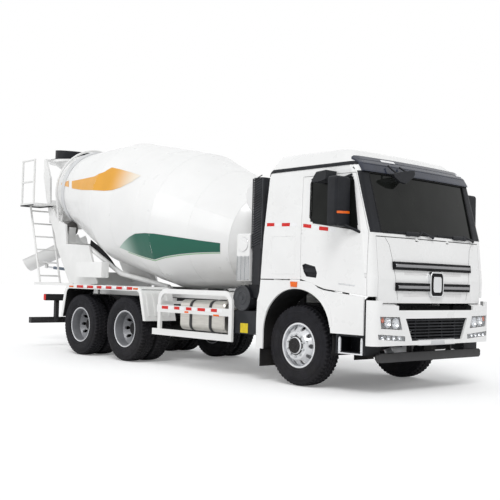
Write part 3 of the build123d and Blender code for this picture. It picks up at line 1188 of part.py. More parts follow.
# Jack under the chute, from the swivel to the chute's eye pin
JACK_SPAN_H = JACK_TOP_H - JACK_LOW_H
JACK_SPAN_Z = JACK_TOP_Z - JACK_LOW_Z
JACK_SPAN = hypot(JACK_SPAN_H, JACK_SPAN_Z)
JACK_TUBE_R = 30.0
JACK_ROD_R = 16.0
JACK_TUBE_L = 330.0


def on_jack(along):
    """A point on the jack's line, along from its lower pin."""
    share = along / JACK_SPAN
    return slewed(JACK_LOW_H + JACK_SPAN_H * share, 0, JACK_LOW_Z + JACK_SPAN_Z * share)


with BuildPart() as jack_tube:
    rod(on_jack(20), on_jack(JACK_TUBE_L), JACK_TUBE_R)
    rod(slewed(JACK_LOW_H, -JACK_HALF_W, JACK_LOW_Z), slewed(JACK_LOW_H, JACK_HALF_W, JACK_LOW_Z), 24)
    for t0, t1 in ((-40, -JACK_HALF_W), (JACK_HALF_W, 40)):
        slewed_box(JACK_LOW_H - 40, JACK_LOW_H + 30, t0, t1, JACK_LOW_Z - 45, JACK_LOW_Z + 50, Mode.SUBTRACT)
    low_eye = (slewed(JACK_LOW_H, -60, JACK_LOW_Z), slewed(JACK_LOW_H, 60, JACK_LOW_Z))
    rod(low_eye[0], low_eye[1], JACK_PIN_R + RUN_FIT, Mode.SUBTRACT)
    rod(on_jack(60), on_jack(JACK_TUBE_L + 10), JACK_ROD_R + RUN_FIT, Mode.SUBTRACT)
jack_tube.part.label = "jack_tube"
export_step(jack_tube.part, "parts/jack_tube.step")

with BuildPart() as jack_rod:
    rod(on_jack(180), on_jack(JACK_SPAN - 20), JACK_ROD_R)
    eye_r = JACK_PIN_R + JACK_EYE_PLAY
    top_eye = (slewed(JACK_TOP_H, -JACK_HALF_W, JACK_TOP_Z), slewed(JACK_TOP_H, JACK_HALF_W, JACK_TOP_Z))
    rod(top_eye[0], top_eye[1], eye_r + 8)
    rod(top_eye[0], top_eye[1], eye_r, Mode.SUBTRACT)
jack_rod.part.label = "jack_rod"
export_step(jack_rod.part, "parts/jack_rod.step")

# Cab: one outer form by levels, from which the shell, lid, doors and glass are all drawn
CAB_CROWN = 45.0
CAB_LEVELS = (  # z, front at the middle, rear, half width, corner radius, share of an inset taken from z
    (1118.0, 1292.0, -672.0, 1228.0, 110.0, 0.0),
    (1420.0, 1300.0, -668.0, 1230.0, 110.0, 0.0),
    (1960.0, 1245.0, -630.0, 1230.0, 110.0, 0.0),
    (2760.0, 1035.0, -565.0, 1195.0, 110.0, 0.0),
    (2850.0, 985.0, -555.0, 1180.0, 115.0, 0.2),
    (3040.0, 760.0, -480.0, 1050.0, 150.0, 1.0),
    (3075.0, 640.0, -420.0, 930.0, 150.0, 1.0),
)


def cab_form(inset):
    """The cab's outer form, drawn in by an inset."""
    with BuildPart() as form:
        faces = []
        for z, front, rear, half_w, corner, drop in CAB_LEVELS:
            aside = inset * (1 - 0.4 * drop)
            low_z = z - drop * inset
            level = plan_face(low_z, front - aside, CAB_CROWN, half_w - aside, rear + aside, corner - aside)
            faces.append(level.face())
        loft(faces, ruled=True)
    return form.part


CAB_OUTER = cab_form(0)
CAB_INNER = cab_form(CAB_WALL)
DOOR_INNER = cab_form(CAB_WALL - MOVE_GAP)
GLASS_OUTER = cab_form(GLASS_INSET)
GLASS_INNER = cab_form(GLASS_INSET + GLASS_T)
CAB_SKIN = cab_form(-SEAT_GAP)
LID_PIVOT_X = FRONT_AXLE_X + 1238.0
LID_PIVOT_Z = 1920.0
LID_PIN_R = 6.0
LID_TAB_Y0 = 304.0
LID_TAB_Y1 = 356.0
NOSE_HALF_W = 1096.0
NOSE_TOP = 1938.0
FIREWALL_X = 1130.0
FIREWALL_T = 20.0
CAB_BOTTOM = (
    (-800.0, CAB_REAR_FLOOR_Z),
    (80.0, 1389.0),
    (497.0, 1268.0),
    (1190.0, CAB_DOOR_LOW_Z),
    (1500.0, CAB_DOOR_LOW_Z),
    (1500.0, 1000.0),
    (-800.0, 1000.0),
)
CAB_FLOOR = (
    (-800.0, CAB_REAR_FLOOR_Z + CAB_FLOOR_T),
    (95.0, 1389.0 + CAB_FLOOR_T),
    (510.0, 1268.0 + CAB_FLOOR_T),
    (FIREWALL_X, CAB_DOOR_LOW_Z + CAB_FLOOR_T + 6),
    (FIREWALL_X, NOSE_TOP),
    (1500.0, NOSE_TOP),
    (1500.0, 3200.0),
    (-800.0, 3200.0),
)
WINDSCREEN = ((-985.0, 1985.0), (985.0, 1985.0), (1010.0, 2735.0), (-1010.0, 2735.0))
DOOR_LINE = (
    (64.0, 2722.0),
    (77.0, 1389.0),
    (497.0, 1268.0),
    (1190.0, CAB_DOOR_LOW_Z),
    (1178.0, 1956.0),
    (950.0, 2722.0),
)
HANDLE_POCKET = (
    (105.0, 1572.0),
    (158.0, 1592.0),
    (336.0, 1554.0),
    (373.0, 1471.0),
    (358.0, 1408.0),
    (181.0, 1425.0),
    (135.0, 1482.0),
)
HANDLE_Y = 1208.0
WINDOW_LINE = ((205.0, 2686.0), (221.0, 2131.0), (1032.0, 2010.0), (920.0, 2668.0))
DOOR_Y0 = 1156.0
DOOR_Y1 = 1300.0
RELIEF_X = (1122.0, 1172.0)  # room for the door's inner corner as it swings
RELIEF_Y = (1140.0, 1203.0)
RELIEF_Z = (1232.0, 1930.0)
CAB_ARM = (
    (1262.0, 770.0),
    (1232.0, 830.0),
    (1100.0, 960.0),
    (1035.0, 1100.0),
    (1000.0, 1255.0),
    (860.0, 1270.0),
    (960.0, 1030.0),
    (1190.0, 740.0),
)


def panel_prism(outline, inset, y0, y1, mode=Mode.ADD):
    """A side outline drawn in by an inset, spread from y0 to y1, in the open part."""
    with BuildSketch(Plane.XZ.offset(-y0)) as section:
        Polygon(*[(FRONT_AXLE_X + x, z) for x, z in outline], align=None)
        offset(amount=-inset, kind=Kind.INTERSECTION, mode=Mode.REPLACE)
    extrude(section.sketch, amount=y0 - y1, mode=mode)


with BuildPart() as cab_room:
    add(CAB_INNER)
    side_plate(CAB_FLOOR, -1300, 1300, Mode.INTERSECT)

with BuildPart() as cab:
    add(CAB_OUTER)
    side_plate(CAB_BOTTOM, -1300, 1300, Mode.SUBTRACT)
    add(cab_room.part, mode=Mode.SUBTRACT)
    nose_x = FRONT_AXLE_X + FIREWALL_X + FIREWALL_T
    block(nose_x, FRONT_AXLE_X + 1400, -NOSE_HALF_W, NOSE_HALF_W, 1000, NOSE_TOP, Mode.SUBTRACT)
    cross_plate(WINDSCREEN, FRONT_AXLE_X + 920, FRONT_AXLE_X + 1400, Mode.SUBTRACT)
    for _, sign in SIDES:
        with BuildPart(mode=Mode.PRIVATE) as opening:
            side_plate(DOOR_LINE, sign * (DOOR_Y0 - MOVE_GAP), sign * DOOR_Y1)
            add(CAB_INNER, mode=Mode.SUBTRACT)
        add(opening.part, mode=Mode.SUBTRACT)
        relief_x = (FRONT_AXLE_X + RELIEF_X[0], FRONT_AXLE_X + RELIEF_X[1])
        block(*relief_x, sign * RELIEF_Y[0], sign * RELIEF_Y[1], *RELIEF_Z, Mode.SUBTRACT)
        side_plate(CAB_ARM, sign * (CAB_ARM_Y - CAB_ARM_HALF_W), sign * (CAB_ARM_Y + CAB_ARM_HALF_W))
        arm_in = (CAB_PIVOT_X, sign * (CAB_ARM_Y - CAB_ARM_HALF_W), CAB_PIVOT_Z)
        arm_out = (CAB_PIVOT_X, sign * (CAB_ARM_Y + CAB_ARM_HALF_W), CAB_PIVOT_Z)
        rod(arm_in, arm_out, 42)
        rod(arm_in, arm_out, CAB_PIVOT_R + RUN_FIT, Mode.SUBTRACT)
    for _, sign in SIDES:
        tab_out = sign * LID_TAB_Y1
        block(LID_PIVOT_X - 12, LID_PIVOT_X + 7, sign * LID_TAB_Y0, tab_out, LID_PIVOT_Z - 9, NOSE_TOP + 8)
        pin_in = (LID_PIVOT_X, sign * (LID_TAB_Y0 - 20), LID_PIVOT_Z)
        rod(pin_in, (LID_PIVOT_X, sign * (LID_TAB_Y1 + 20), LID_PIVOT_Z), LID_PIN_R)
cab.part.label = "cab"
export_step(cab.part, "parts/cab.step")

with BuildPart() as windscreen:
    add(GLASS_OUTER)
    add(GLASS_INNER, mode=Mode.SUBTRACT)
    with BuildSketch(Plane.YZ.offset(FRONT_AXLE_X + 920)):
        Polygon(*WINDSCREEN, align=None)
        offset(amount=-SEAT_GAP, kind=Kind.INTERSECTION, mode=Mode.REPLACE)
    extrude(amount=480, mode=Mode.INTERSECT)
windscreen.part.label = "windscreen"
export_step(windscreen.part, "parts/windscreen.step")

MIRROR_X0 = 780.0
MIRROR_X1 = 920.0
MIRROR_Y0 = 1236.0
MIRROR_Y1 = 1510.0
MIRROR_LOW = 2040.0
MIRROR_TOP = 2655.0
MIRROR_ARMS = ((890.0, 2696.0, 2610.0), (1110.0, 1950.0, 2090.0))  # foot's x and z, height at the head
KERB_HOOD = (
    (405.0, 2610.0),
    (420.0, 2660.0),
    (480.0, 2735.0),
    (640.0, 2750.0),
    (640.0, 2640.0),
    (560.0, 2615.0),
)
KERB_Y = 1400.0
for side, sign in SIDES:
    with BuildPart() as door:
        panel_prism(DOOR_LINE, MOVE_GAP, sign * DOOR_Y0, sign * DOOR_Y1)
        add(CAB_OUTER, mode=Mode.INTERSECT)
        add(DOOR_INNER, mode=Mode.SUBTRACT)
        side_plate(WINDOW_LINE, sign * DOOR_Y0, sign * DOOR_Y1, Mode.SUBTRACT)
        side_plate(HANDLE_POCKET, sign * HANDLE_Y, sign * 1300, Mode.SUBTRACT)
        handle_y = sign * (HANDLE_Y - 1)
        block(FRONT_AXLE_X + 150, FRONT_AXLE_X + 345, handle_y, handle_y + sign * 16, 1484, 1524)
    door.part.label = f"door_{side}"
    export_step(door.part, f"parts/door_{side}.step")

    with BuildPart() as glass:
        panel_prism(WINDOW_LINE, SEAT_GAP, sign * DOOR_Y0, sign * DOOR_Y1)
        add(GLASS_OUTER, mode=Mode.INTERSECT)
        add(GLASS_INNER, mode=Mode.SUBTRACT)
    glass.part.label = f"glass_{side}"
    export_step(glass.part, f"parts/glass_{side}.step")

    # Mirror head on two arms from the door, with the kerb mirror's hood above the window
    head_y = sign * (MIRROR_Y0 + MIRROR_Y1) / 2
    head_x = FRONT_AXLE_X + (MIRROR_X0 + MIRROR_X1) / 2
    with BuildPart() as mirror:
        mirror_x0 = FRONT_AXLE_X + MIRROR_X0
        block(mirror_x0, FRONT_AXLE_X + MIRROR_X1, sign * MIRROR_Y0, sign * MIRROR_Y1, MIRROR_LOW, MIRROR_TOP)
        fillet(mirror.edges().filter_by(Axis.X), 45)
        fillet(mirror.faces().sort_by(Axis.X)[-1].edges(), 30)
        for foot_x, foot_z, arm_z in MIRROR_ARMS:
            foot = (FRONT_AXLE_X + foot_x, sign * 1185, foot_z)
            elbow = (head_x, head_y, arm_z)
            rod(foot, elbow, 18)
            rod(elbow, (head_x, head_y, 2350), 18)
        side_plate(KERB_HOOD, sign * 1190, sign * KERB_Y)
        add(CAB_SKIN, mode=Mode.SUBTRACT)
    mirror.part.label = f"mirror_{side}"
    export_step(mirror.part, f"parts/mirror_{side}.step")

# Front lid with its two bars
LID_HALF_W = 1090.0
LID_LOW = 1121.0
LID_TOP = 1926.0
BARS = ((830.0, 1532.0, 1632.0), (790.0, 1272.0, 1374.0))  # half width, low, top
LID_INNER = cab_form(LID_T)
with BuildPart() as front_panel:
    block(FRONT_AXLE_X + 1100, FRONT_AXLE_X + 1400, -LID_HALF_W, LID_HALF_W, LID_LOW, LID_TOP)
    add(CAB_OUTER, mode=Mode.INTERSECT)
    add(LID_INNER, mode=Mode.SUBTRACT)
    for _, sign in SIDES:
        notch = (sign * (LID_TAB_Y0 - MOVE_GAP), sign * (LID_TAB_Y1 + MOVE_GAP))
        block(LID_PIVOT_X - 60, LID_PIVOT_X + 60, notch[0], notch[1], LID_PIVOT_Z - 22, LID_TOP + 5, Mode.SUBTRACT)
        bore_in = (LID_PIVOT_X, sign * (LID_TAB_Y0 - 25), LID_PIVOT_Z)
        rod(bore_in, (LID_PIVOT_X, sign * (LID_TAB_Y1 + 25), LID_PIVOT_Z), LID_PIN_R + RUN_FIT, Mode.SUBTRACT)
front_panel.part.label = "front_panel"
export_step(front_panel.part, "parts/front_panel.step")

BAR_FACE = cab_form(-26)
with BuildPart() as grille_bars:
    for half_w, low, top in BARS:
        block(FRONT_AXLE_X + 1100, FRONT_AXLE_X + 1400, -half_w, half_w, low, top)
    add(BAR_FACE, mode=Mode.INTERSECT)
    add(CAB_SKIN, mode=Mode.SUBTRACT)
grille_bars.part.label = "grille_bars"
export_step(grille_bars.part, "parts/grille_bars.step")

with BuildPart() as roof_visor:
    block(FRONT_AXLE_X + 820, FRONT_AXLE_X + 1200, -1130, 1130, 2742, 2950)
    add(BAR_FACE, mode=Mode.INTERSECT)
    add(CAB_SKIN, mode=Mode.SUBTRACT)
roof_visor.part.label = "roof_visor"
export_step(roof_visor.part, "parts/roof_visor.step")

# Seats, bunk, dashboard and steering wheel on the cab's floor
SEAT_FLOOR = CAB_REAR_FLOOR_Z + CAB_FLOOR_T + SEAT_GAP + 4
DASH_X = FIREWALL_X - SEAT_GAP
DASH = ((820.0, 1700.0), (DASH_X, 1500.0), (DASH_X, 1900.0), (960.0, 1930.0), (830.0, 1850.0))
WHEEL_R = 220.0
WHEEL_AT = (FRONT_AXLE_X + 700, 600, 1960)
WHEEL_LEAN = Vector(-0.5, 0, 0.866)
with BuildPart() as cab_interior:
    side_plate(DASH, -1120, 1120)
    block(FRONT_AXLE_X - 560, FRONT_AXLE_X - 40, -1080, 1080, 1640, 1760)
    for _, sign in SIDES:
        block(FRONT_AXLE_X - 400, FRONT_AXLE_X - 150, sign * 950, sign * 1000, SEAT_FLOOR, 1645)
        block(FRONT_AXLE_X - 45, FRONT_AXLE_X + 80, sign * 450, sign * 750, SEAT_FLOOR, 1680)
        block(FRONT_AXLE_X + 10, FRONT_AXLE_X + 480, sign * 350, sign * 860, 1660, 1800)
        leaning = ((10.0, 1790.0), (150.0, 1790.0), (60.0, 2480.0), (-50.0, 2480.0))
        side_plate(leaning, sign * 360, sign * 850)
    with BuildSketch(Plane(origin=WHEEL_AT, z_dir=WHEEL_LEAN)):
        Circle(WHEEL_R)
        Circle(WHEEL_R - 32, mode=Mode.SUBTRACT)
        Rectangle(2 * WHEEL_R - 40, 40)
    extrude(amount=26)
    rod(WHEEL_AT, (FRONT_AXLE_X + 870, 600, 1690), 32)
cab_interior.part.label = "cab_interior"
export_step(cab_interior.part, "parts/cab_interior.step")
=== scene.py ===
"""Concrete mixer truck: the looks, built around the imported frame."""
from math import asin, copysign, cos, degrees, hypot, pi, radians, sin, sqrt

import bmesh
import bpy
from mathutils import Matrix, Vector
from mathutils.bvhtree import BVHTree


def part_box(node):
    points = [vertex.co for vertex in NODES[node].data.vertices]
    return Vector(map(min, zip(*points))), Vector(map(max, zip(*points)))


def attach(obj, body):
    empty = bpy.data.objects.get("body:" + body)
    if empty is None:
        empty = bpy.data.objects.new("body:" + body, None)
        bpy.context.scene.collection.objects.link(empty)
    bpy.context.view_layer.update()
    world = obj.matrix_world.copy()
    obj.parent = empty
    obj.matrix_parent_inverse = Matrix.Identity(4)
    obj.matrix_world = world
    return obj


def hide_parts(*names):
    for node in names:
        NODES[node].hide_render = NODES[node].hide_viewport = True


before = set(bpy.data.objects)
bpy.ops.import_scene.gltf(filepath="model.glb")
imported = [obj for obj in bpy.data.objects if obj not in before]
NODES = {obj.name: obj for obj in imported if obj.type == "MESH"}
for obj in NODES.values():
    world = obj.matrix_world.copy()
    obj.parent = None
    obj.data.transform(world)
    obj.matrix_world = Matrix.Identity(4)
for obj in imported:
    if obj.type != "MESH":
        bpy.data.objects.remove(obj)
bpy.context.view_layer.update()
tyre_lo, tyre_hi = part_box("tyre_front_right")
FX = (tyre_lo.x + tyre_hi.x) / 2
AXLE_Z = 527.0
SIDES = (("right", -1), ("left", 1))
AHEAD = (1, 0, 0)
BACK = (-1, 0, 0)
WHEELS = (("front", 0.0), ("middle", -3900.0), ("rear", -5250.0))


def pt(x, y, z):
    """A point in metres from millimetres measured from the front axle, the middle and the ground."""
    return Vector((FX + x / 1000, y / 1000, z / 1000))


# Materials
def add(tree, kind, inputs=None, **settings):
    """A shader node with its settings and the plain values of its inputs."""
    node = tree.nodes.new("ShaderNode" + kind)
    for key, value in settings.items():
        setattr(node, key, value)
    for key, value in (inputs or {}).items():
        node.inputs[key].default_value = value
    return node


def new_tree(name):
    """A material, its node tree and its shader."""
    made = bpy.data.materials.new(name)
    made.use_nodes = True
    return made, made.node_tree, made.node_tree.nodes["Principled BSDF"]


def material(name, colour, rough, vary, bump, metal=0.0, grain=5.0, fine=120.0, stretch=(1, 1, 1),
             coat=0.0, dust=0.0, wear=0.0, clear=0.0, glow=0.0, spec=0.5):
    """A procedural finish: colour drift, roughness drift, fine bump, dust low down and worn edges."""
    made, tree, shader = new_tree(name)
    links = tree.links
    for key, value in (("Metallic", metal), ("Coat Weight", coat), ("Coat Roughness", 0.08),
                       ("Specular IOR Level", spec), ("Transmission Weight", clear)):
        shader.inputs[key].default_value = value
    place = add(tree, "TexCoord")
    mapping = add(tree, "Mapping", {"Scale": stretch})
    links.new(place.outputs["Object"], mapping.inputs["Vector"])

    def noise(scale, detail=4.0):
        node = add(tree, "TexNoise", {"Scale": scale, "Detail": detail})
        links.new(mapping.outputs["Vector"], node.inputs["Vector"])
        return node.outputs["Fac"]

    def mix(factor, one, two):
        node = add(tree, "Mix", data_type="RGBA")
        links.new(factor, node.inputs["Factor"])
        for socket, value in ((node.inputs[6], one), (node.inputs[7], two)):
            if isinstance(value, tuple):
                socket.default_value = (*value, 1)
            else:
                links.new(value, socket)
        return node.outputs[2]

    def remap(value, low, high, to_low, to_high):
        node = add(tree, "MapRange", {"From Min": low, "From Max": high, "To Min": to_low, "To Max": to_high})
        links.new(value, node.inputs["Value"])
        return node.outputs["Result"]

    deep = tuple(c * (1 - vary) for c in colour)
    light = tuple(min(1.0, c * (1 + vary)) for c in colour)
    shade = mix(remap(noise(grain), 0.35, 0.65, 0, 1), deep, light)
    if wear:
        edge = add(tree, "NewGeometry").outputs["Pointiness"]
        shade = mix(remap(edge, 0.53, 0.62, 0, wear), shade, tuple(min(1.0, c * 1.8 + 0.1) for c in colour))
    if dust:
        split = add(tree, "SeparateXYZ")
        links.new(place.outputs["Object"], split.inputs["Vector"])
        patchy = add(tree, "Math", operation="MULTIPLY")
        links.new(remap(split.outputs["Z"], 0.25, 1.15, dust, 0.0), patchy.inputs[0])
        links.new(remap(noise(3.0), 0.3, 0.7, 0.25, 1.0), patchy.inputs[1])
        shade = mix(patchy.outputs[0], shade, (0.33, 0.3, 0.26))
    links.new(shade, shader.inputs["Base Color"])
    uneven = remap(noise(grain * 3), 0.3, 0.7, max(0.02, rough - 0.06), min(1.0, rough + 0.06))
    links.new(uneven, shader.inputs["Roughness"])
    if glow:
        links.new(shade, shader.inputs["Emission Color"])
        shader.inputs["Emission Strength"].default_value = glow
    if bump:
        rise = add(tree, "Bump", {"Strength": bump, "Distance": 0.002})
        links.new(noise(fine, 2.0), rise.inputs["Height"])
        links.new(rise.outputs["Normal"], shader.inputs["Normal"])
    return made


WHITE = material("white_paint_skin", (0.83, 0.83, 0.825), 0.3, 0.025, 0.04, grain=1.6, coat=0.5, dust=0.1)
DRUM_WHITE = material("drum_white", (0.85, 0.85, 0.845), 0.33, 0.03, 0.05, grain=1.2, fine=40, coat=0.4)
GUARD = material("guard_white", (0.78, 0.78, 0.77), 0.38, 0.04, 0.06, grain=3,
                 coat=0.25, dust=0.16, wear=0.25)
GREY = material("grey_paint_skin", (0.3, 0.31, 0.32), 0.45, 0.08, 0.08, dust=0.1, wear=0.3)
PALE = material("pale_grey_paint", (0.55, 0.56, 0.57), 0.42, 0.06, 0.08, wear=0.2)
CHASSIS = material("chassis_enamel", (0.01, 0.01, 0.012), 0.42, 0.25, 0.12, fine=70,
                   dust=0.06, wear=0.3, spec=0.16)
PLASTIC = material("moulded_plastic", (0.011, 0.012, 0.015), 0.5, 0.2, 0.25, fine=420, wear=0.12, spec=0.2)
VISOR = material("visor_gloss", (0.022, 0.027, 0.045), 0.24, 0.15, 0.03, coat=0.15, spec=0.35)
STEEL = material("tank_alloy", (0.6, 0.58, 0.54), 0.34, 0.07, 0.1, metal=0.85, grain=4, fine=60,
                 stretch=(1, 14, 14))
CHROME = material("bright_chrome", (0.72, 0.73, 0.74), 0.14, 0.04, 0.02, metal=1.0)
ROD = material("ground_rod", (0.66, 0.67, 0.68), 0.18, 0.05, 0.05, metal=1.0, fine=200)
DRIVE = material("drive_enamel", (0.1, 0.13, 0.17), 0.4, 0.15, 0.12, wear=0.35)
IRON = material("roller_cast_iron", (0.16, 0.155, 0.15), 0.5, 0.2, 0.3, metal=0.7, fine=80, wear=0.4)
RUBBER = material("tyre_tread_rubber", (0.009, 0.009, 0.012), 0.7, 0.25, 0.3, grain=9, fine=260,
                  dust=0.03, wear=0.3, spec=0.18)
SEAL = material("rubber_seal", (0.008, 0.008, 0.009), 0.6, 0.2, 0.2, fine=300, spec=0.2)
# Silver paint of the front rims and step frames; on the rear rims' outer lip it is a painted highlight
SILVER = material("wheel_lacquer", (0.72, 0.73, 0.75), 0.34, 0.06, 0.08, metal=0.25, grain=7,
                  dust=0.05, wear=0.2)
DARK_RIM = material("inner_wheel_grey", (0.24, 0.245, 0.26), 0.42, 0.15, 0.1, metal=0.3, dust=0.06, wear=0.3)
GLASS = material("tinted_glass", (0.01, 0.011, 0.01), 0.05, 0.15, 0.0, spec=0.15)
LENS = material("clear_lens", (0.95, 0.96, 0.97), 0.03, 0.01, 0.02, fine=300, clear=0.97)
AMBER = material("amber_lens", (0.78, 0.13, 0.008), 0.22, 0.1, 0.25, grain=40, fine=500,
                 coat=0.1, glow=0.05, spec=0.3)
RED = material("red_reflector", (0.62, 0.018, 0.014), 0.36, 0.12, 0.2, grain=60, fine=700, spec=0.25)
SILVER_TAPE = material("white_reflector", (0.86, 0.86, 0.87), 0.3, 0.05, 0.2, grain=60, fine=700, coat=0.3)
YELLOW = material("blank_label", (0.66, 0.5, 0.015), 0.42, 0.08, 0.05, grain=20, spec=0.3)
# Near-black: the own colour of the grille bars and the plaque's ring, and painted shade on the sheets behind
# the bumper's slats and slot mesh
DARK = material("dark_recess", (0.005, 0.005, 0.006), 0.65, 0.25, 0.2, spec=0.15)
BAR = material("satin_bar", (0.3, 0.3, 0.31), 0.3, 0.06, 0.06, metal=0.9, grain=3, stretch=(14, 1, 14))
LOUVRE = material("louvre_plastic", (0.045, 0.047, 0.052), 0.5, 0.2, 0.25, fine=420, spec=0.3)
# Black of the arch liners; the strips under the drum's tail use it as painted shade
LINER = material("arch_liner", (0.012, 0.012, 0.013), 0.75, 0.25, 0.4, fine=200, dust=0.08, spec=0.15)
SEAM = material("panel_seam", (0.09, 0.09, 0.09), 0.7, 0.2, 0.1)
HOSE = material("hydraulic_hose", (0.016, 0.016, 0.017), 0.55, 0.2, 0.5, fine=500)
FABRIC = material("seat_weave", (0.07, 0.075, 0.085), 0.85, 0.25, 0.6, grain=60, fine=700)
PLINTH = material("lamp_reflector", (0.8, 0.81, 0.83), 0.1, 0.03, 0.03, metal=1.0)
SLOT_GREY = material("faint_slots", (0.62, 0.6, 0.6), 0.4, 0.05, 0.05)


def fade(name, one, two, axis, start, end):
    """A printed film whose colour runs from one to the other along the piece's own map."""
    made = material(name, one, 0.34, 0.04, 0.04, grain=2.0, fine=40, spec=0.3)
    tree = made.node_tree
    links = tree.links
    shader = tree.nodes["Principled BSDF"]
    drifting = shader.inputs["Base Color"].links[0].from_socket
    uv = add(tree, "UVMap", uv_map="run")
    split = add(tree, "SeparateXYZ")
    links.new(uv.outputs["UV"], split.inputs["Vector"])
    ramp = add(tree, "MapRange", {"From Min": start, "From Max": end}, interpolation_type="SMOOTHSTEP")
    links.new(split.outputs[axis], ramp.inputs["Value"])
    node = add(tree, "Mix", data_type="RGBA")
    links.new(ramp.outputs["Result"], node.inputs["Factor"])
    links.new(drifting, node.inputs[6])
    node.inputs[7].default_value = (*two, 1)
    links.new(node.outputs[2], shader.inputs["Base Color"])
    return made


ORANGE_FILM = fade("orange_film", (0.76, 0.36, 0.03), (0.86, 0.8, 0.7), "X", 0.66, 1.0)
GREEN_FILM = fade("green_film", (0.45, 0.58, 0.52), (0.014, 0.12, 0.08), "X", 0.0, 0.3)
ORANGE_TAIL = material("orange_tail", (0.8, 0.36, 0.03), 0.34, 0.04, 0.04, coat=0.4)
LIGHT_GREEN = material("light_green_film", (0.3, 0.52, 0.3), 0.34, 0.05, 0.04, coat=0.4)

# The record's slots, each with the finish of its CAD nodes first and then those of the added pieces
FINISHES = {
    "white_paint": (WHITE, DRUM_WHITE, SLOT_GREY, ORANGE_FILM, GREEN_FILM),
    "white_guard": (GUARD,),
    "grey_paint": (GREY, PALE),
    "chassis_black": (CHASSIS,),
    "black_plastic": (PLASTIC, SEAL, SEAM, VISOR, DARK, LOUVRE, LINER, YELLOW, HOSE, FABRIC),
    "tank_steel": (STEEL,),
    "bright_steel": (ROD, BAR, CHROME),
    "drive_paint": (DRIVE,),
    "roller_iron": (IRON,),
    "dark_glass": (GLASS,),
    "lamp_glass": (LENS, PLINTH, AMBER, RED, SILVER_TAPE),
    "tyre_rubber": (RUBBER,),
    "wheel_silver": (SILVER,),
}
SLOT_OF = {made.name: slot for slot, finishes in FINISHES.items() for made in finishes}
NODE_FINISH = {
    "drum_shell": DRUM_WHITE, "roof_visor": VISOR, "hopper_collar": PLASTIC, "drum_ring": PALE,
    "mixer_subframe": GUARD, "rear_pedestal": GUARD, "ladder": GUARD, "grille_bars": DARK,
    "hopper": WHITE, "discharge_funnel": GUARD, "chute": GUARD, "rear_fenders": GUARD,
}
for name, node in NODES.items():
    for slot in node.material_slots:
        base = (slot.material.name if slot.material else "").split(".")[0]
        found = [finishes[0] for key, finishes in FINISHES.items() if base.startswith(key)]
        slot.material = NODE_FINISH.get(name) or (found[0] if found else WHITE)


# Shapes
def stand(name, data):
    """An object of the data, put in the scene."""
    made = bpy.data.objects.new(name, data)
    bpy.context.scene.collection.objects.link(made)
    return made


def steps(low, high, count):
    """Values spaced evenly from low to high."""
    return [low + (high - low) * i / count for i in range(count + 1)]


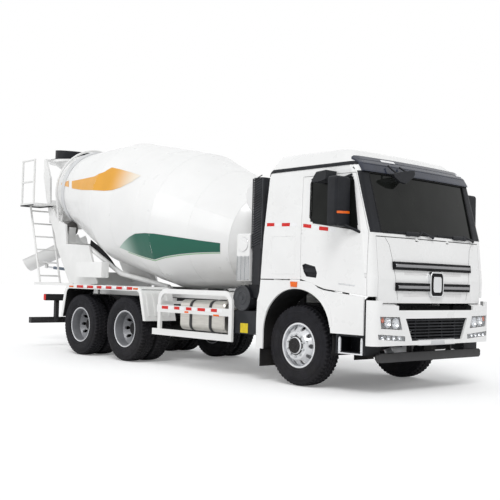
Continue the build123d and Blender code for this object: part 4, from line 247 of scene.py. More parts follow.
class Form:
    """Gathers faces and turns them into one piece after another.

    A place is (x, y, z) in millimetres as pt takes them, or a Vector in the scene's metres.
    """

    def __init__(self):
        self.clear()

    def clear(self):
        self.mesh = bmesh.new()
        self.uv = None

    def loop(self, points):
        return [self.mesh.verts.new(p if isinstance(p, Vector) else pt(*p)) for p in points]

    def face(self, verts, slot=0):
        try:
            made = self.mesh.faces.new(verts)
            made.material_index = slot
            return made
        except ValueError:
            return None

    def sheet(self, rows, slot=0, close=False, map_it=False):
        """A grid of points, row by row."""
        grid = [self.loop(row) for row in rows]
        if map_it and self.uv is None:
            self.uv = self.mesh.loops.layers.uv.new("run")
        across = len(rows[0])
        for i in range(len(grid) - 1):
            for j in range(across if close else across - 1):
                k = (j + 1) % across
                made = self.face((grid[i][j], grid[i + 1][j], grid[i + 1][k], grid[i][k]), slot)
                if made and map_it:
                    spots = ((i, j), (i + 1, j), (i + 1, j + 1), (i, j + 1))
                    for corner, (a, b) in zip(made.loops, spots):
                        corner[self.uv].uv = (b / (across - 1), a / (len(grid) - 1))
        return grid

    def prism(self, outline, axis, a, b, slot=0):
        """An outline in the other two coordinates, from a to b along x, y or z."""
        def at(u, v, w):
            return {"x": (w, u, v), "y": (u, w, v), "z": (u, v, w)}[axis]
        low = self.loop([at(u, v, a) for u, v in outline])
        high = self.loop([at(u, v, b) for u, v in outline])
        n = len(outline)
        for i in range(n):
            j = (i + 1) % n
            self.face((low[i], low[j], high[j], high[i]), slot)
        self.face(low[::-1], slot)
        self.face(high, slot)

    def box(self, x, y, z, slot=0):
        self.prism([(x[0], y[0]), (x[1], y[0]), (x[1], y[1]), (x[0], y[1])], "z", z[0], z[1], slot)

    def tube(self, points, radius, sides=10, slot=0, ring=False):
        """A round bar through points, with mitred turns."""
        path = [p if isinstance(p, Vector) else pt(*p) for p in points]
        count = len(path)
        rows = []
        up = None
        for i, p in enumerate(path):
            before = path[i - 1] if (i or ring) else p
            after = path[(i + 1) % count] if (i < count - 1 or ring) else p
            along = (after - before).normalized()
            if up is None:
                up = along.orthogonal().normalized()
            up = (up - along * up.dot(along)).normalized()
            side = along.cross(up)
            r = radius / 1000
            rows.append([p + (up * cos(t) + side * sin(t)) * r
                         for t in (2 * pi * k / sides for k in range(sides))])
        grid = [self.loop(row) for row in rows]
        for i in range(count if ring else count - 1):
            one, two = grid[i], grid[(i + 1) % count]
            for j in range(sides):
                k = (j + 1) % sides
                self.face((one[j], two[j], two[k], one[k]), slot)
        if not ring:
            self.face(grid[0], slot)
            self.face(grid[-1][::-1], slot)

    def rod(self, one, two, radius, sides=6):
        """A straight round bar."""
        self.tube((one, two), radius, sides)

    def lathe(self, profile, at, axis, sides=48, slot=0):
        """A profile of (along, radius) in millimetres turned about an axis through a point."""
        mid = at if isinstance(at, Vector) else pt(*at)
        axis = Vector(axis).normalized()
        one = axis.orthogonal().normalized()
        two = axis.cross(one)
        rows = []
        for along, radius in profile:
            centre = mid + axis * (along / 1000)
            rows.append([centre + (one * cos(t) + two * sin(t)) * (radius / 1000)
                         for t in (2 * pi * k / sides for k in range(sides))])
        self.sheet(rows, slot, close=True)

    def bolt(self, at, axis, size=11.0, high=9.0, slot=0):
        """A washer, a hexagon head and a chamfered top."""
        self.lathe([(0, size * 1.35), (2.5, size * 1.35), (2.5, size * 0.9)], at, axis, 16, slot)
        self.lathe([(2.5, size), (high - 1.5, size), (high, size * 0.82), (high, 0.1)], at, axis, 6, slot)

    def piece(self, name, body, *finishes, slot=None, bevel=0.0, thick=0.0, smooth=40, replaces=()):
        """Makes one piece of what was gathered, and starts again with nothing."""
        bmesh.ops.remove_doubles(self.mesh, verts=self.mesh.verts, dist=1e-6)
        bmesh.ops.recalc_face_normals(self.mesh, faces=self.mesh.faces)
        data = bpy.data.meshes.new(name)
        self.mesh.to_mesh(data)
        self.mesh.free()
        self.clear()
        for finish in finishes:
            data.materials.append(finish)
        data.polygons.foreach_set("use_smooth", [True] * len(data.polygons))
        data.set_sharp_from_angle(angle=radians(smooth))
        made = stand(name, data)
        if thick:
            solid = made.modifiers.new("thick", "SOLIDIFY")
            solid.thickness = thick / 1000
            solid.offset = 0
        if bevel:
            edge = made.modifiers.new("edge", "BEVEL")
            edge.width = bevel / 1000
            edge.segments = 2
            edge.limit_method = "ANGLE"
            edge.angle_limit = radians(35)
            edge.harden_normals = True
        slot = slot or SLOT_OF[finishes[0].name]
        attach(made, body)
        if replaces:
            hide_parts(*replaces)
        return made


form = Form()
RAY_LEAD = 0.6
TREES = {}


def tree_of(name):
    """A node's search tree, made once."""
    if name not in TREES:
        data = NODES[name].data
        faces = [tuple(p.vertices) for p in data.polygons]
        TREES[name] = BVHTree.FromPolygons([v.co.copy() for v in data.vertices], faces)
    return TREES[name]


def land(point, cast, nodes, lift=1.5):
    """Where a ray from outside lands on the nodes, or their nearest place, lifted towards the start."""
    cast = Vector(cast).normalized()
    start = point - cast * RAY_LEAD
    best = None
    for node in nodes.split():
        hit = tree_of(node).ray_cast(start, cast)
        if hit[0] is not None and (best is None or hit[3] < best[1]):
            best = (hit[0], hit[3])
    if best is None:
        near = [tree_of(node).find_nearest(point) for node in nodes.split()]
        best = min(near, key=lambda found: found[3])
    return best[0] - cast * (lift / 1000)


def between(points, n):
    """Points spaced evenly along a line of corners."""
    spots = [Vector(p) for p in points]
    spans = [(b - a).length for a, b in zip(spots, spots[1:])]
    whole = sum(spans)
    out = []
    for k in range(n + 1):
        left = whole * k / n
        for i, span in enumerate(spans):
            if left <= span + 1e-9 or i == len(spans) - 1:
                out.append(spots[i].lerp(spots[i + 1], min(1.0, left / max(span, 1e-9))))
                break
            left -= span
    return out


def drape(top, bottom, cast, nodes, n=12, m=3, lift=1.5, slot=0):
    """A thin film between two lines of (x, y, z) corners, laid onto the named nodes along a direction."""
    rows = []
    a, b = between(top, n), between(bottom, n)
    for k in range(m + 1):
        rows.append([land(pt(*p.lerp(q, k / m)), cast, nodes, lift) for p, q in zip(a, b)])
    form.sheet(rows, slot)


def drape_line(points, cast, nodes, radius, n=40, lift=0.0, ring=False):
    """A thin round bead laid on nodes along a line of (x, y, z) corners."""
    spots = between(list(points) + ([points[0]] if ring else []), n)
    if ring:
        spots = spots[:-1]
    form.tube([land(pt(*p), cast, nodes, lift) for p in spots], radius, 6, ring=ring)


def patch(x, z, far, nodes, fall=0, slot=0, lift=1.2, n=3, m=1):
    """A film on a side between two x, from the first z down to the second, its front end lower by fall."""
    top, bottom = (((x[0], far, edge), (x[1], far, edge - fall)) for edge in z)
    drape(top, bottom, (0, -copysign(1, far), 0), nodes, n, m, lift, slot)


def front_patch(x, y, z, nodes, fall=0, lift=3.0, n=10):
    """A film laid onto nodes from ahead between two y, from the first z down to the second."""
    top, bottom = (((x, y[0], edge), (x, y[1], edge - fall)) for edge in z)
    drape(top, bottom, BACK, nodes, n, 2, lift)


def circle(x, y, z, radius, count, first=0):
    """Points round a middle in a plane along the truck, the first one turned by its share of a step."""
    turns = [2 * pi * (k + first) / count for k in range(count)]
    return [(x + radius * cos(t), y, z + radius * sin(t)) for t in turns]


# Tyres: a turned carcass whose tread grid is pressed in at grooves, sipes and shoulder slots
SECTION = (
    (100, 286), (112, 289), (120, 300), (128, 322), (136, 352), (139.5, 385), (140, 410), (138.5, 436),
    (135, 456), (134, 458), (133, 464), (131.5, 466), (129, 484), (126, 499), (124, 507), (120, 514),
    (114, 518.5), (106, 521), (96, 522.6), (86, 523.8), (76, 524.7), (66, 525.4), (58, 525.9), (54, 526.1),
    (46, 526.4), (42, 526.5), (32, 526.7), (22, 526.8), (12, 526.9), (7, 527), (3, 527), (0, 527),
)
LUGS = 56
STEPS = LUGS * 6
SHOULDER_CUT = 13.0
EDGE_CUT = 7.0
SIDE_CUT = 3.0
GROOVE = 12.0
MIDDLE_GROOVE = 11.0
SIPE = 8.0
ZIGZAG = 5.0


def tyre_rows(wheel_x, mid_y):
    """The rows of one tyre, from its inner bead over the tread to its outer bead."""
    profile = [(w, r) for w, r in SECTION] + [(-w, r) for w, r in reversed(SECTION[:-1])]
    rows = []
    for w, r in profile:
        row = []
        for k in range(STEPS):
            turn = 2 * pi * k / STEPS
            phase = (k / 6) % 1.0
            drop, shift = 0.0, 0.0
            wide = abs(w)
            if 507 <= r and wide > 62 and phase < 0.34:
                drop = SHOULDER_CUT if wide < 121 else EDGE_CUT
            elif 42 < wide < 58:
                drop = GROOVE if 45 < wide < 55 else 0.0
                shift = ZIGZAG * copysign(1, w) * (1 if phase < 0.5 else -1)
            elif wide < 5:
                drop = MIDDLE_GROOVE
                shift = ZIGZAG * (1 if phase < 0.5 else -1)
            elif wide < 34 and 0.5 <= phase < 0.68:
                drop = SIPE
            elif 484 <= r <= 500 and phase < 0.34:
                drop = SIDE_CUT
            rr = r - drop
            row.append((wheel_x + rr * cos(turn), mid_y + w + shift, AXLE_Z + rr * sin(turn)))
        rows.append(row)
    return rows


FRONT_Y = 1040
TWIN_Y = (770, 1090)
TWIN_DISC_Y = 930
NUT_CIRCLE_R = 142
HUB_BOLT_R = 76
for wheel, wheel_x in WHEELS:
    for side, sign in SIDES:
        body = f"wheel_{wheel}_{side}"
        for mid in (FRONT_Y,) if wheel == "front" else TWIN_Y:
            form.sheet(tyre_rows(wheel_x, sign * mid), close=True)
            for face_side in (-1, 1):
                for low, high, out in ((324, 331, 129.5), (346, 349, 136.5), (442, 446, 139.5)):
                    rim_y = sign * mid + face_side * (out - 1.5)
                    form.lathe([(0, low), (2.6 * face_side, low + 1), (2.6 * face_side, high - 1), (0, high)],
                               (wheel_x, rim_y, AXLE_Z), (0, 1, 0), 96)
        form.piece(f"tread_{wheel}_{side}", body, RUBBER, smooth=32,
                   replaces=(f"tyre_{wheel}_{side}",))

        # Wheel nuts, hub cover and valve
        face_y = FRONT_Y + 160 if wheel == "front" else TWIN_DISC_Y + 2
        for spot in circle(wheel_x, sign * (face_y - 3), AXLE_Z, NUT_CIRCLE_R, 10, 0.5):
            form.lathe([(0, 23), (5, 23), (5, 17)], spot, (0, sign, 0), 20)
            form.lathe([(5, 17), (21, 17), (24, 14), (24, 10), (33, 10), (34, 8.5), (34, 0.1)], spot,
                       (0, sign, 0), 6)
        hub_y = FRONT_Y + 196 if wheel == "front" else TWIN_DISC_Y + 104
        form.lathe([(-8, 97), (1, 96), (4, 92), (4, 64), (1.5, 60), (1.5, 34), (6, 30), (7, 0.1)],
                   (wheel_x, sign * hub_y, AXLE_Z), (0, sign, 0), 48, 1)
        for spot in circle(wheel_x, sign * hub_y, AXLE_Z, HUB_BOLT_R, 8):
            form.bolt(spot, (0, sign, 0), 7, 6, 1)
        valve_y = sign * (face_y + 12)
        form.tube([(wheel_x + 205, valve_y - sign * 20, AXLE_Z + 60), (wheel_x + 214, valve_y, AXLE_Z + 63),
                   (wheel_x + 222, valve_y + sign * 28, AXLE_Z + 66)], 5, slot=1)
        form.piece(f"nuts_{wheel}_{side}", body, ROD if wheel == "front" else IRON, CHASSIS, smooth=30,
                   slot="bright_steel")
        if wheel != "front":
            for slot in NODES[f"rim_{wheel}_{side}"].material_slots:
                slot.material = DARK_RIM
            # Painted highlight: a silver ring on the outer rim lip stands for the light the lip catches; the
            # rest of the rear rim keeps its grey
            form.lathe([(70, 273), (100, 276), (111, 281), (118, 290), (119, 298), (116, 302),
                        (110, 300), (100, 293)], (wheel_x, sign * TWIN_Y[1], AXLE_Z), (0, sign, 0), 96)
            form.piece(f"flange_{wheel}_{side}", body, SILVER)
        else:
            form.lathe([(20, 112.8), (160, 112.8), (162, 124), (168, 124), (172, 113),
                        (180, 109), (186, 101), (198, 97)],
                       (wheel_x, sign * FRONT_Y, AXLE_Z), (0, sign, 0), 64)
            form.piece(f"hub_cover_{side}", body, CHASSIS)

# Drum: printed films, weld beads, and the blades and ribs at its mouth
DRUM_TILT = radians(12)
DRUM_AXIS = Vector((-cos(DRUM_TILT), 0, sin(DRUM_TILT)))
DRUM_FOOT = pt(-1513, 0, 1930)
DRUM_SIDE = Vector((0, 1, 0))
DRUM_DOWN = DRUM_AXIS.cross(DRUM_SIDE)
DRUM_LINE = ((0.0, 0.47), (0.35, 0.782), (1.9, 1.149), (2.39, 1.149), (3.777, 1.121), (5.79, 0.645))


def drum_radius(s):
    """The drum's radius at a distance along its axis, both in metres."""
    for (a, ra), (b, rb) in zip(DRUM_LINE, DRUM_LINE[1:]):
        if s <= b:
            return ra + (rb - ra) * (s - a) / (b - a)
    return DRUM_LINE[-1][1]


def drum_point(s, angle, lift=0.0, flip=1):
    """A place on the drum's skin: how far along its axis and how many degrees round."""
    turn = radians(angle)
    r = drum_radius(s) + lift
    return DRUM_FOOT + DRUM_AXIS * s + (DRUM_SIDE * (cos(turn) * flip) + DRUM_DOWN * sin(turn)) * r


# Degrees round the drum that count as much as a metre along it when points are spaced on an edge
ARC = 60


def drum_film(top, bottom, flip, n=70, m=8, lift=0.004, slot=0):
    """A film on the drum's skin between two edges of (metres along the axis, degrees round)."""
    a, b = (between([(s, d / ARC, 0) for s, d in edge], n) for edge in (top, bottom))
    rows = []
    for k in range(m + 1):
        line = [p.lerp(q, k / m) for p, q in zip(a, b)]
        rows.append([drum_point(p.x, p.y * ARC, lift, flip) for p in line])
    form.sheet(rows, slot, map_it=True)


SWOOSH_TOP = ((4.991, -167), (4.4, -162), (3.9, -158.2), (3.65, -152.8), (3.521, -146.5),
              (3.253, -146.6), (2.893, -147.2), (2.571, -148.2))
SWOOSH_LOW = ((4.874, -176), (4.3, -174), (3.75, -171.2), (3.397, -169.2), (3.159, -166.8),
              (2.944, -162.8), (2.701, -155.5), (2.571, -148.4))
BAND_TOP = ((2.952, 143.4), (2.72, 151.6), (2.514, 158), (2.311, 163), (2.014, 166.4), (1.796, 167.8),
            (1.469, 168.4), (1.131, 169.1), (0.803, 169.9), (0.497, 171.2))
BAND_LOW = ((2.962, 142.8), (2.714, 142.4), (2.426, 142.6), (2.157, 143), (1.904, 143.9), (1.642, 148.4),
            (1.31, 152.7), (0.997, 156.3), (0.738, 159), (0.501, 161.4))
for side, sign in SIDES:
    flip = -sign
    drum_film(SWOOSH_TOP, SWOOSH_LOW, flip)
    drum_film(((5.56, -173.0), (5.171, -167.4)), ((5.54, -176.6), (5.066, -175.8)), flip, 10, 4, slot=1)
    form.piece(f"orange_film_{side}", "drum", ORANGE_FILM, ORANGE_TAIL)
    drum_film(BAND_TOP, BAND_LOW, flip)
    line_low = tuple((s, d - 1.6) for s, d in BAND_LOW[1:])
    drum_film(tuple((s, d - 0.7) for s, d in BAND_LOW[1:]), line_low, flip, 60, 1, slot=1)
    form.piece(f"green_film_{side}", "drum", GREEN_FILM, LIGHT_GREEN)

for s in (0.35, 1.13, 1.9, 2.39, 3.08, 3.777, 4.44, 5.06):
    form.tube([drum_point(s, 3 * k, 0.0004) for k in range(120)], 2.4, 6, ring=True)
SEAMS = ((0.36, 1.12, 200), (1.14, 1.89, 320), (2.4, 3.07, 95), (3.09, 3.76, 250), (3.79, 4.43, 20),
         (4.45, 5.05, 140))
for start, end, turn in SEAMS:
    form.tube([drum_point(s, turn, 0.0003) for s in steps(start, end, 10)], 2.8, 6)
form.piece("drum_welds", "drum", DRUM_WHITE)
BLADE_S = 4.35
BLADE_RUN = 1.38
BLADE_TURN = 330
BLADE_DEEP = 0.175
for start in (0, 180):
    rows = []
    for inward in (0.012, 0.06, 0.12, BLADE_DEEP):
        rows.append([drum_point(BLADE_S + BLADE_RUN * k / 60, start + BLADE_TURN * k / 60, -inward)
                     for k in range(61)])
    form.sheet(rows)
    form.tube(rows[-1], 7, 8)
form.piece("mixing_blades", "drum", GREY, thick=6)
for k in range(6):
    turn = 60 * k + 20
    form.sheet([[drum_point(5.42 + 0.05 * i, turn + dt, lift) for i in range(5)] for dt, lift in
                ((-1.2, 0.002), (-0.8, 0.02), (0.8, 0.02), (1.2, 0.002))])
form.piece("mouth_ribs", "drum", DRUM_WHITE)

# Cab: films, beads and trims laid on its panels
CORNER_CUT = 46
POCKET_Y = 1209.5
for side, sign in SIDES:
    cast = (0, -sign, 0)
    door = f"door_{side}"
    far = sign * 1400
    for x0, x1, z0, z1 in ((-577, -433, 2139, 2094), (-291, -140, 2130, 2085)):
        patch((x0, x1), (z0, z1), far, "cab", 3)
        patch((x1 + 4, x1 + 130), (z0 - 3, z1 - 3), far, "cab", 3, 1)
    form.piece(f"cab_dashes_{side}", "cab", RED, SILVER_TAPE, slot="white_paint")
    for x0, x1, z0, z1 in ((106, 250, 2108, 2062), (390, 546, 2066, 2018)):
        patch((x0, x1), (z0, z1), far, door, 18)
        patch((x1 + 4, x1 + 130), (z0 - 18, z1 - 18), far, door, 15, 1)
    form.piece(f"door_dashes_{side}", door, RED, SILVER_TAPE, slot="white_paint")

    # Locker outline, side lamp and gutter strip on the cab
    corner = [(-477, 1500), (-465, 1466), (-430, 1455), (-72, 1455), (-37, 1466), (-25, 1500),
              (-25, 1905), (-37, 1940), (-72, 1951), (-430, 1951), (-465, 1940), (-477, 1905)]
    drape_line([(x, far, z) for x, z in corner], cast, "cab", 3.5, 120, 0.5, True)
    form.piece(f"locker_line_{side}", "cab", WHITE)
    drape(((-640, far, 2858), (1010, far, 2866)), ((-640, far, 2812), (1010, far, 2822)),
          cast, "cab", 40, 2, 4)
    form.piece(f"gutter_strip_{side}", "cab", PLASTIC, thick=9, bevel=2)
    drape(((-83, far, 1356), (40, far, 1352)), ((-72, far, 1288), (32, far, 1284)), cast,
          f"{door} cab front_fenders", 4, 2, 9)
    form.piece(f"marker_lamp_{side}", "chassis", AMBER, thick=14, bevel=3)

    # Window seal, dark pocket, pull bar and blank badge on the door
    window = [(205, 2686), (221, 2131), (1032, 2010), (920, 2668)]
    inner = []
    for i, (x, z) in enumerate(window):
        for px, pz in (window[i - 1], window[(i + 1) % 4]):
            gap = hypot(px - x, pz - z)
            inner.append((x + (px - x) * CORNER_CUT / gap, z + (pz - z) * CORNER_CUT / gap))
    drape_line([(x, far, z) for x, z in inner], cast, f"{door} glass_{side}", 9, 160, 1.0, True)
    form.piece(f"window_seal_{side}", door, SEAL)
    pocket = ((105, 1572), (158, 1592), (336, 1554), (373, 1471), (358, 1408), (181, 1425), (135, 1482))
    middle = (sum(x for x, _ in pocket) / 7, sum(z for _, z in pocket) / 7)
    small = [(middle[0] + (x - middle[0]) * 0.975, middle[1] + (z - middle[1]) * 0.975) for x, z in pocket]
    form.sheet([[(x, sign * POCKET_Y, z) for x, z in small + small[:1]],
                [(middle[0], sign * POCKET_Y, middle[1])] * 8])
    form.tube([(x, sign * 1217, z) for x, z in small], 7, 8, ring=True)
    form.prism([(146, 1478), (349, 1478), (356, 1500), (349, 1530), (146, 1530), (139, 1505)], "y",
               sign * 1211, sign * 1227)
    form.piece(f"handle_dark_{side}", door, PLASTIC, bevel=3)
    patch((740, 1010), (1352, 1338), far, door, 22, lift=3, n=8)
    form.piece(f"door_badge_blank_{side}", door, CHROME, thick=4, bevel=1.5)
    for x in (90, 1175):
        for z in (1450, 2000):
            patch((x - 12, x + 8), (z + 30, z - 30), far, door, lift=1, n=2, m=2)
    form.piece(f"door_edge_pads_{side}", door, WHITE, thick=2)

# Corner pillar covers and the seam between nose and corner panel
AHEAD_X = 1400
FRONT_BOW = 45
# Height, front, half width and corner radius of the cab's form
LEVELS = ((1118, 1292, 1228, 110), (1420, 1300, 1230, 110), (1960, 1245, 1230, 110), (2760, 1035, 1195, 110),
          (2850, 985, 1180, 115), (3040, 760, 1050, 150))


def level(z):
    """The front, half width and corner radius of the cab at a height."""
    for one, two in zip(LEVELS, LEVELS[1:]):
        if z <= two[0]:
            k = max(0.0, (z - one[0]) / (two[0] - one[0]))
            return [a + (b - a) * k for a, b in zip(one[1:], two[1:])]
    return list(LEVELS[-1][1:])


def corner_point(z, angle, sign, out=0.0):
    """A place on the cab's rounded corner, from 0 degrees at the side to 90 at the front."""
    front, half, corner = level(z)
    turn = radians(angle)
    return (front - FRONT_BOW - corner + (corner + out) * sin(turn),
            sign * (half - corner + (corner + out) * cos(turn)), z)


def front_x(y, z):
    """How far ahead the cab's bowed front lies."""
    front, half, corner = level(z)
    edge = half - corner
    bow = (edge * edge + FRONT_BOW * FRONT_BOW) / (2 * FRONT_BOW)
    if abs(y) <= edge:
        return front - (bow - sqrt(bow * bow - y * y))
    return front - FRONT_BOW - corner + sqrt(max(0.0, corner * corner - (abs(y) - edge) ** 2))


for side, sign in SIDES:
    rows = []
    for z in steps(1978, 2742, 30):
        front, half, corner = level(z)
        door_x = 1178 + (950 - 1178) * (z - 1956) / (2722 - 1956) + 9
        glass_y = 985 + 25 * (z - 1985) / 750
        a0 = degrees(asin(max(-0.1, min(1, (door_x - (front - FRONT_BOW - corner)) / corner))))
        row = [corner_point(z, a0 + (90 - a0) * i / 8, sign, 3.0) for i in range(9)]
        edge = half - corner
        for i in range(1, 4):
            y = edge + (glass_y - 6 - edge) * i / 3
            row.append((front_x(y, z) + 3.0, sign * y, z))
        rows.append(row)
    form.sheet(rows)
    form.piece(f"pillar_cover_{side}", "cab", PLASTIC, thick=4)

edge_line = [(y, 1985) for y in (-985, -500, 0, 500, 985)] + [(y, 2735) for y in (1010, 500, 0, -500, -1010)]
spots = between([(0, y, z) for y, z in edge_line + edge_line[:1]], 200)[:-1]
form.tube([(front_x(p.y, p.z) - 1, p.y, p.z) for p in spots], 11, 8, ring=True)
form.piece("windscreen_seal", "cab", SEAL)

CORNER_SEAM = ((-935, 1926), (-864, 1832), (-831, 1686), (-783, 1405), (-736, 1159))
for side, sign in SIDES:
    drape_line([(AHEAD_X, -sign * y, z) for y, z in CORNER_SEAM], BACK, "front_panel", 2.6, 40, -0.4)
    form.piece(f"corner_seam_{side}", "front_lid", SEAM)

# Nose: chrome bars in their dark frames, blank plaque, slots and seam
for half, low, high in ((806, 1560, 1606), (764, 1298, 1344)):
    for y0, y1 in (((-half, half),) if low > 1400 else ((-half, -150), (150, half))):
        form.sheet([[(front_x(y, low) + dx, y, low + (high - low) * dz) for y in steps(y0, y1, 24)]
                    for dz, dx in ((0.0, 22), (0.15, 34), (0.55, 38), (0.85, 34), (1.0, 22))])
form.piece("nose_chrome", "front_lid", BAR, thick=3)
plate = ((-110, 1200), (110, 1200), (138, 1236), (146, 1360), (138, 1486), (110, 1522), (-110, 1522),
         (-138, 1486), (-146, 1360), (-138, 1236))
x0 = front_x(0, 1360)
form.prism(plate, "x", x0 - 6, x0 + 36)
form.prism([(y * 0.86, 1361 + (z - 1361) * 0.9) for y, z in plate], "x", x0 + 30, x0 + 40, 1)
form.prism([(y * 0.6, 1361 + (z - 1361) * 0.62) for y, z in plate], "x", x0 + 38, x0 + 45)
form.piece("nose_plaque_blank", "front_lid", CHROME, DARK, bevel=4)
for z, halves in ((1504, (-620, -150, 150, 600)), (1236, (-640, -150, 150, 620))):
    for y0, y1 in (halves[:2], halves[2:]):
        for k in range(3):
            low = z - k * 14
            drape_line([(AHEAD_X, y0, low), (AHEAD_X, y1, low)], BACK, "front_panel cab", 2.4, 20)
form.piece("nose_slots", "front_lid", SLOT_GREY)
line = between([(0, -1040, 1934), (0, 1040, 1934)], 60)
form.tube([(front_x(p.y, p.z) - 1, p.y, p.z) for p in line], 2.6, 6)
form.piece("cowl_seam", "cab", SEAM)

# Wipers, visor lamps and look-down mirror
WIPER_Z = 1981
for y0, y1, arm in ((-556, -288, ((-300, 1985), (-237, 2026), (-120, 1992), (-31, 1966))),
                    (447, 774, ((690, 1985), (724, 2020), (830, 1990), (930, 1966)))):
    rows = []
    for k in range(9):
        turn = 2 * pi * k / 8
        row = []
        for y in steps(y0, y1, 10):
            small = 0.7 if y in (y0, y1) else 1
            row.append((front_x(y, WIPER_Z) + 20 + 16 * cos(turn) * small, y,
                        WIPER_Z + 6 + 30 * sin(turn) * small))
        rows.append(row)
    form.sheet(rows)
    for i in (0, -1):
        form.face(form.loop([row[i] for row in rows[:-1]]))
    spots = between([(front_x(y, zz) + 30, y, zz) for y, zz in arm], 14)
    form.tube([tuple(p) for p in spots], 15, 8)
    blade = (y0 - 330, y0 - 160, y0, y0 + 160, arm[1][0])
    span = between([(front_x(y, 2000) + 6, y, 2000) for y in blade], 30)
    form.tube([(front_x(p.y, 2004) + 5, p.y, 2004) for p in span], 6, 6)
    form.tube([(front_x(p.y, 1994) + 13, p.y, 1994) for p in span], 5, 6)
    end = (front_x(*arm[-1]) + 26, *arm[-1])
    form.lathe([(0, 24), (10, 24), (16, 16), (18, 0.1)], end, AHEAD, 20)
form.piece("wipers", "cab", PLASTIC)
for y0, y1 in ((-480, -330), (560, 720)):
    rows = [[(front_x(y, 1950) + d, y, z) for y in (y0, (y0 + y1) / 2, y1)]
            for z, d in ((1978, 4), (1972, 16), (1960, 16), (1954, 4))]
    form.sheet(rows)
form.piece("wiper_feet", "cab", WHITE, thick=3)

for y0, y1, z in ((-690, -440, 2908), (960, 1075, 2892)):
    front_patch(AHEAD_X, (y0, y1), (z + 17, z - 12), "roof_visor", lift=7, n=8)
form.piece("visor_lamps", "cab", SILVER_TAPE, thick=12, bevel=3)
for half, z, radius in ((1090, 2842, 4), (1100, 2900, 3)):
    drape_line([(AHEAD_X, -half, z), (AHEAD_X, half, z)], BACK, "roof_visor", radius, 50, 0.5)
form.piece("visor_ridges", "cab", VISOR)
head = ((-736, 2727), (-576, 2769), (-400, 2800), (-300, 2815), (-290, 2760), (-330, 2715),
        (-470, 2627), (-593, 2640), (-700, 2690))
form.prism(head, "x", 1128, 1172)
form.tube([(1140, -640, 2750), (1080, -660, 2800), (1030, -670, 2850)], 12)
form.tube([(1140, -420, 2780), (1080, -430, 2815), (1030, -440, 2850)], 12)
form.piece("look_down_mirror", "cab", PLASTIC, bevel=14)
form.prism([(y * 0.92 - 40, 2718 + (z - 2718) * 0.8) for y, z in head], "x", 1124, 1127.5)
form.piece("look_down_glass", "cab", CHROME, bevel=1)

# Lamps: reflector bowls and housings behind draped lenses
LAMP = ((728, 795), (1120, 815), (1145, 960), (778, 952))
FOG = ((668, 657), (1158, 686), (1165, 748), (668, 716))
LAMP_AHEAD_X = 1600


def in_lamp(y, z, depth):
    """A place behind the front of the lamp block."""
    return land(pt(LAMP_AHEAD_X, y, z), BACK, "headlamps", -depth)


for side, sign in SIDES:
    for outline in (LAMP, FOG):
        a, b, c, d = [(LAMP_AHEAD_X, sign * y, z) for y, z in outline]
        drape((d, c), (a, b), BACK, "headlamps", 24, 10, -1)
    form.piece(f"lamp_lens_{side}", "chassis", LENS, thick=3,
               replaces=("headlamps",) if side == "right" else ())
    for outline, deep in ((LAMP, 62), (FOG, 40)):
        a, b, c, d = [(LAMP_AHEAD_X, sign * y, z) for y, z in outline]
        drape((d, c), (a, b), BACK, "headlamps", 24, 6, -deep, 1)
        ring = between([d, c, b, a, d], 48)
        front = [in_lamp(p.y, p.z, 3) for p in ring]
        back = [in_lamp(p.y, p.z, deep) for p in ring]
        form.sheet([front, back], 2)
    for y, z, r in ((845, 876, 66), (990, 888, 62)):
        spot = in_lamp(sign * y, z, 58)
        bowl = [(48, r), (44, r - 4), (26, r * 0.8), (10, r * 0.5), (3, r * 0.25), (3, 0.1)]
        form.lathe(bowl, spot, AHEAD, 40)
        form.lathe([(3, 9), (26, 9), (31, 6), (32, 0.1)], spot, AHEAD, 16, 3)
        form.lathe([(46, r + 5), (50, r + 4), (50, r), (46, r - 1)], spot, AHEAD, 40, 1)
    spot = in_lamp(sign * 1085, 915, 40)
    form.lathe([(30, 30), (24, 26), (8, 14), (4, 0.1)], spot, AHEAD, 24, 4)
    for y in (780, 880, 980, 1080):
        spot = in_lamp(sign * y, 700, 36)
        form.lathe([(28, 26), (22, 22), (6, 12), (3, 0.1)], spot, AHEAD, 24)
    form.piece(f"lamp_bowls_{side}", "chassis", PLINTH, PALE, PLINTH, SILVER_TAPE, AMBER)

# Bumper: a black sheet of painted shade behind the slats, the slot mesh over another sheet of painted shade,
# and the tread step
# Painted shade: a flat black sheet behind the lower slats darkens the opening
form.sheet([[(1262, y, z) for y in (-665, -330, 0, 330, 665)] for z in (660, 930)])
form.piece("low_grille_back", "chassis", DARK, thick=4)
for y0, y1 in ((-800, -496), (-416, 416), (496, 800)):
    cells = round((y1 - y0) / 60)
    for k in range(cells):
        y = y0 + 10 + (y1 - y0 - 20) * k / cells
        form.rod((1245, y, 1030), (1245, y + 40, 1085), 3)
        form.rod((1245, y + 40, 1030), (1245, y, 1085), 3)
    # Painted shade: a black sheet behind the mesh rods darkens the opening
    form.sheet([[(1238, y, z) for y in (y0, (y0 + y1) / 2, y1)] for z in (1028, 1090)])
form.piece("upper_slot_mesh", "chassis", DARK)
rows = []
for x, z in ((1335, 596), (1352, 596), (1358, 604), (1358, 650), (1350, 660), (1310, 662)):
    rows.append([(x - 6 * (abs(y) / 390) ** 2, y, z) for y in (-390, -260, -130, 0, 130, 260, 390)])
form.sheet(rows)
for k in range(13):
    y = -372 + 62 * k
    form.rod((1316, y, 664), (1346, y, 664), 3.5)
form.piece("bumper_step", "chassis", PALE, thick=5)

# Mirrors: reflecting faces and amber stripes
for side, sign in SIDES:
    for z0, z1 in ((2265, 2635), (2065, 2245)):
        outline = ((1262, z0), (1488, z0), (1494, (z0 + z1) / 2), (1488, z1), (1262, z1))
        form.prism([(sign * y, z) for y, z in outline], "x", 775.5, 779.5)
    form.piece(f"mirror_face_{side}", f"door_{side}", CHROME, bevel=1.5)
    front_patch(1300, (sign * 1262, sign * 1490), (2232, 2202), f"mirror_{side}", 10)
    form.piece(f"mirror_stripe_{side}", f"door_{side}", AMBER, thick=5, bevel=1.5)

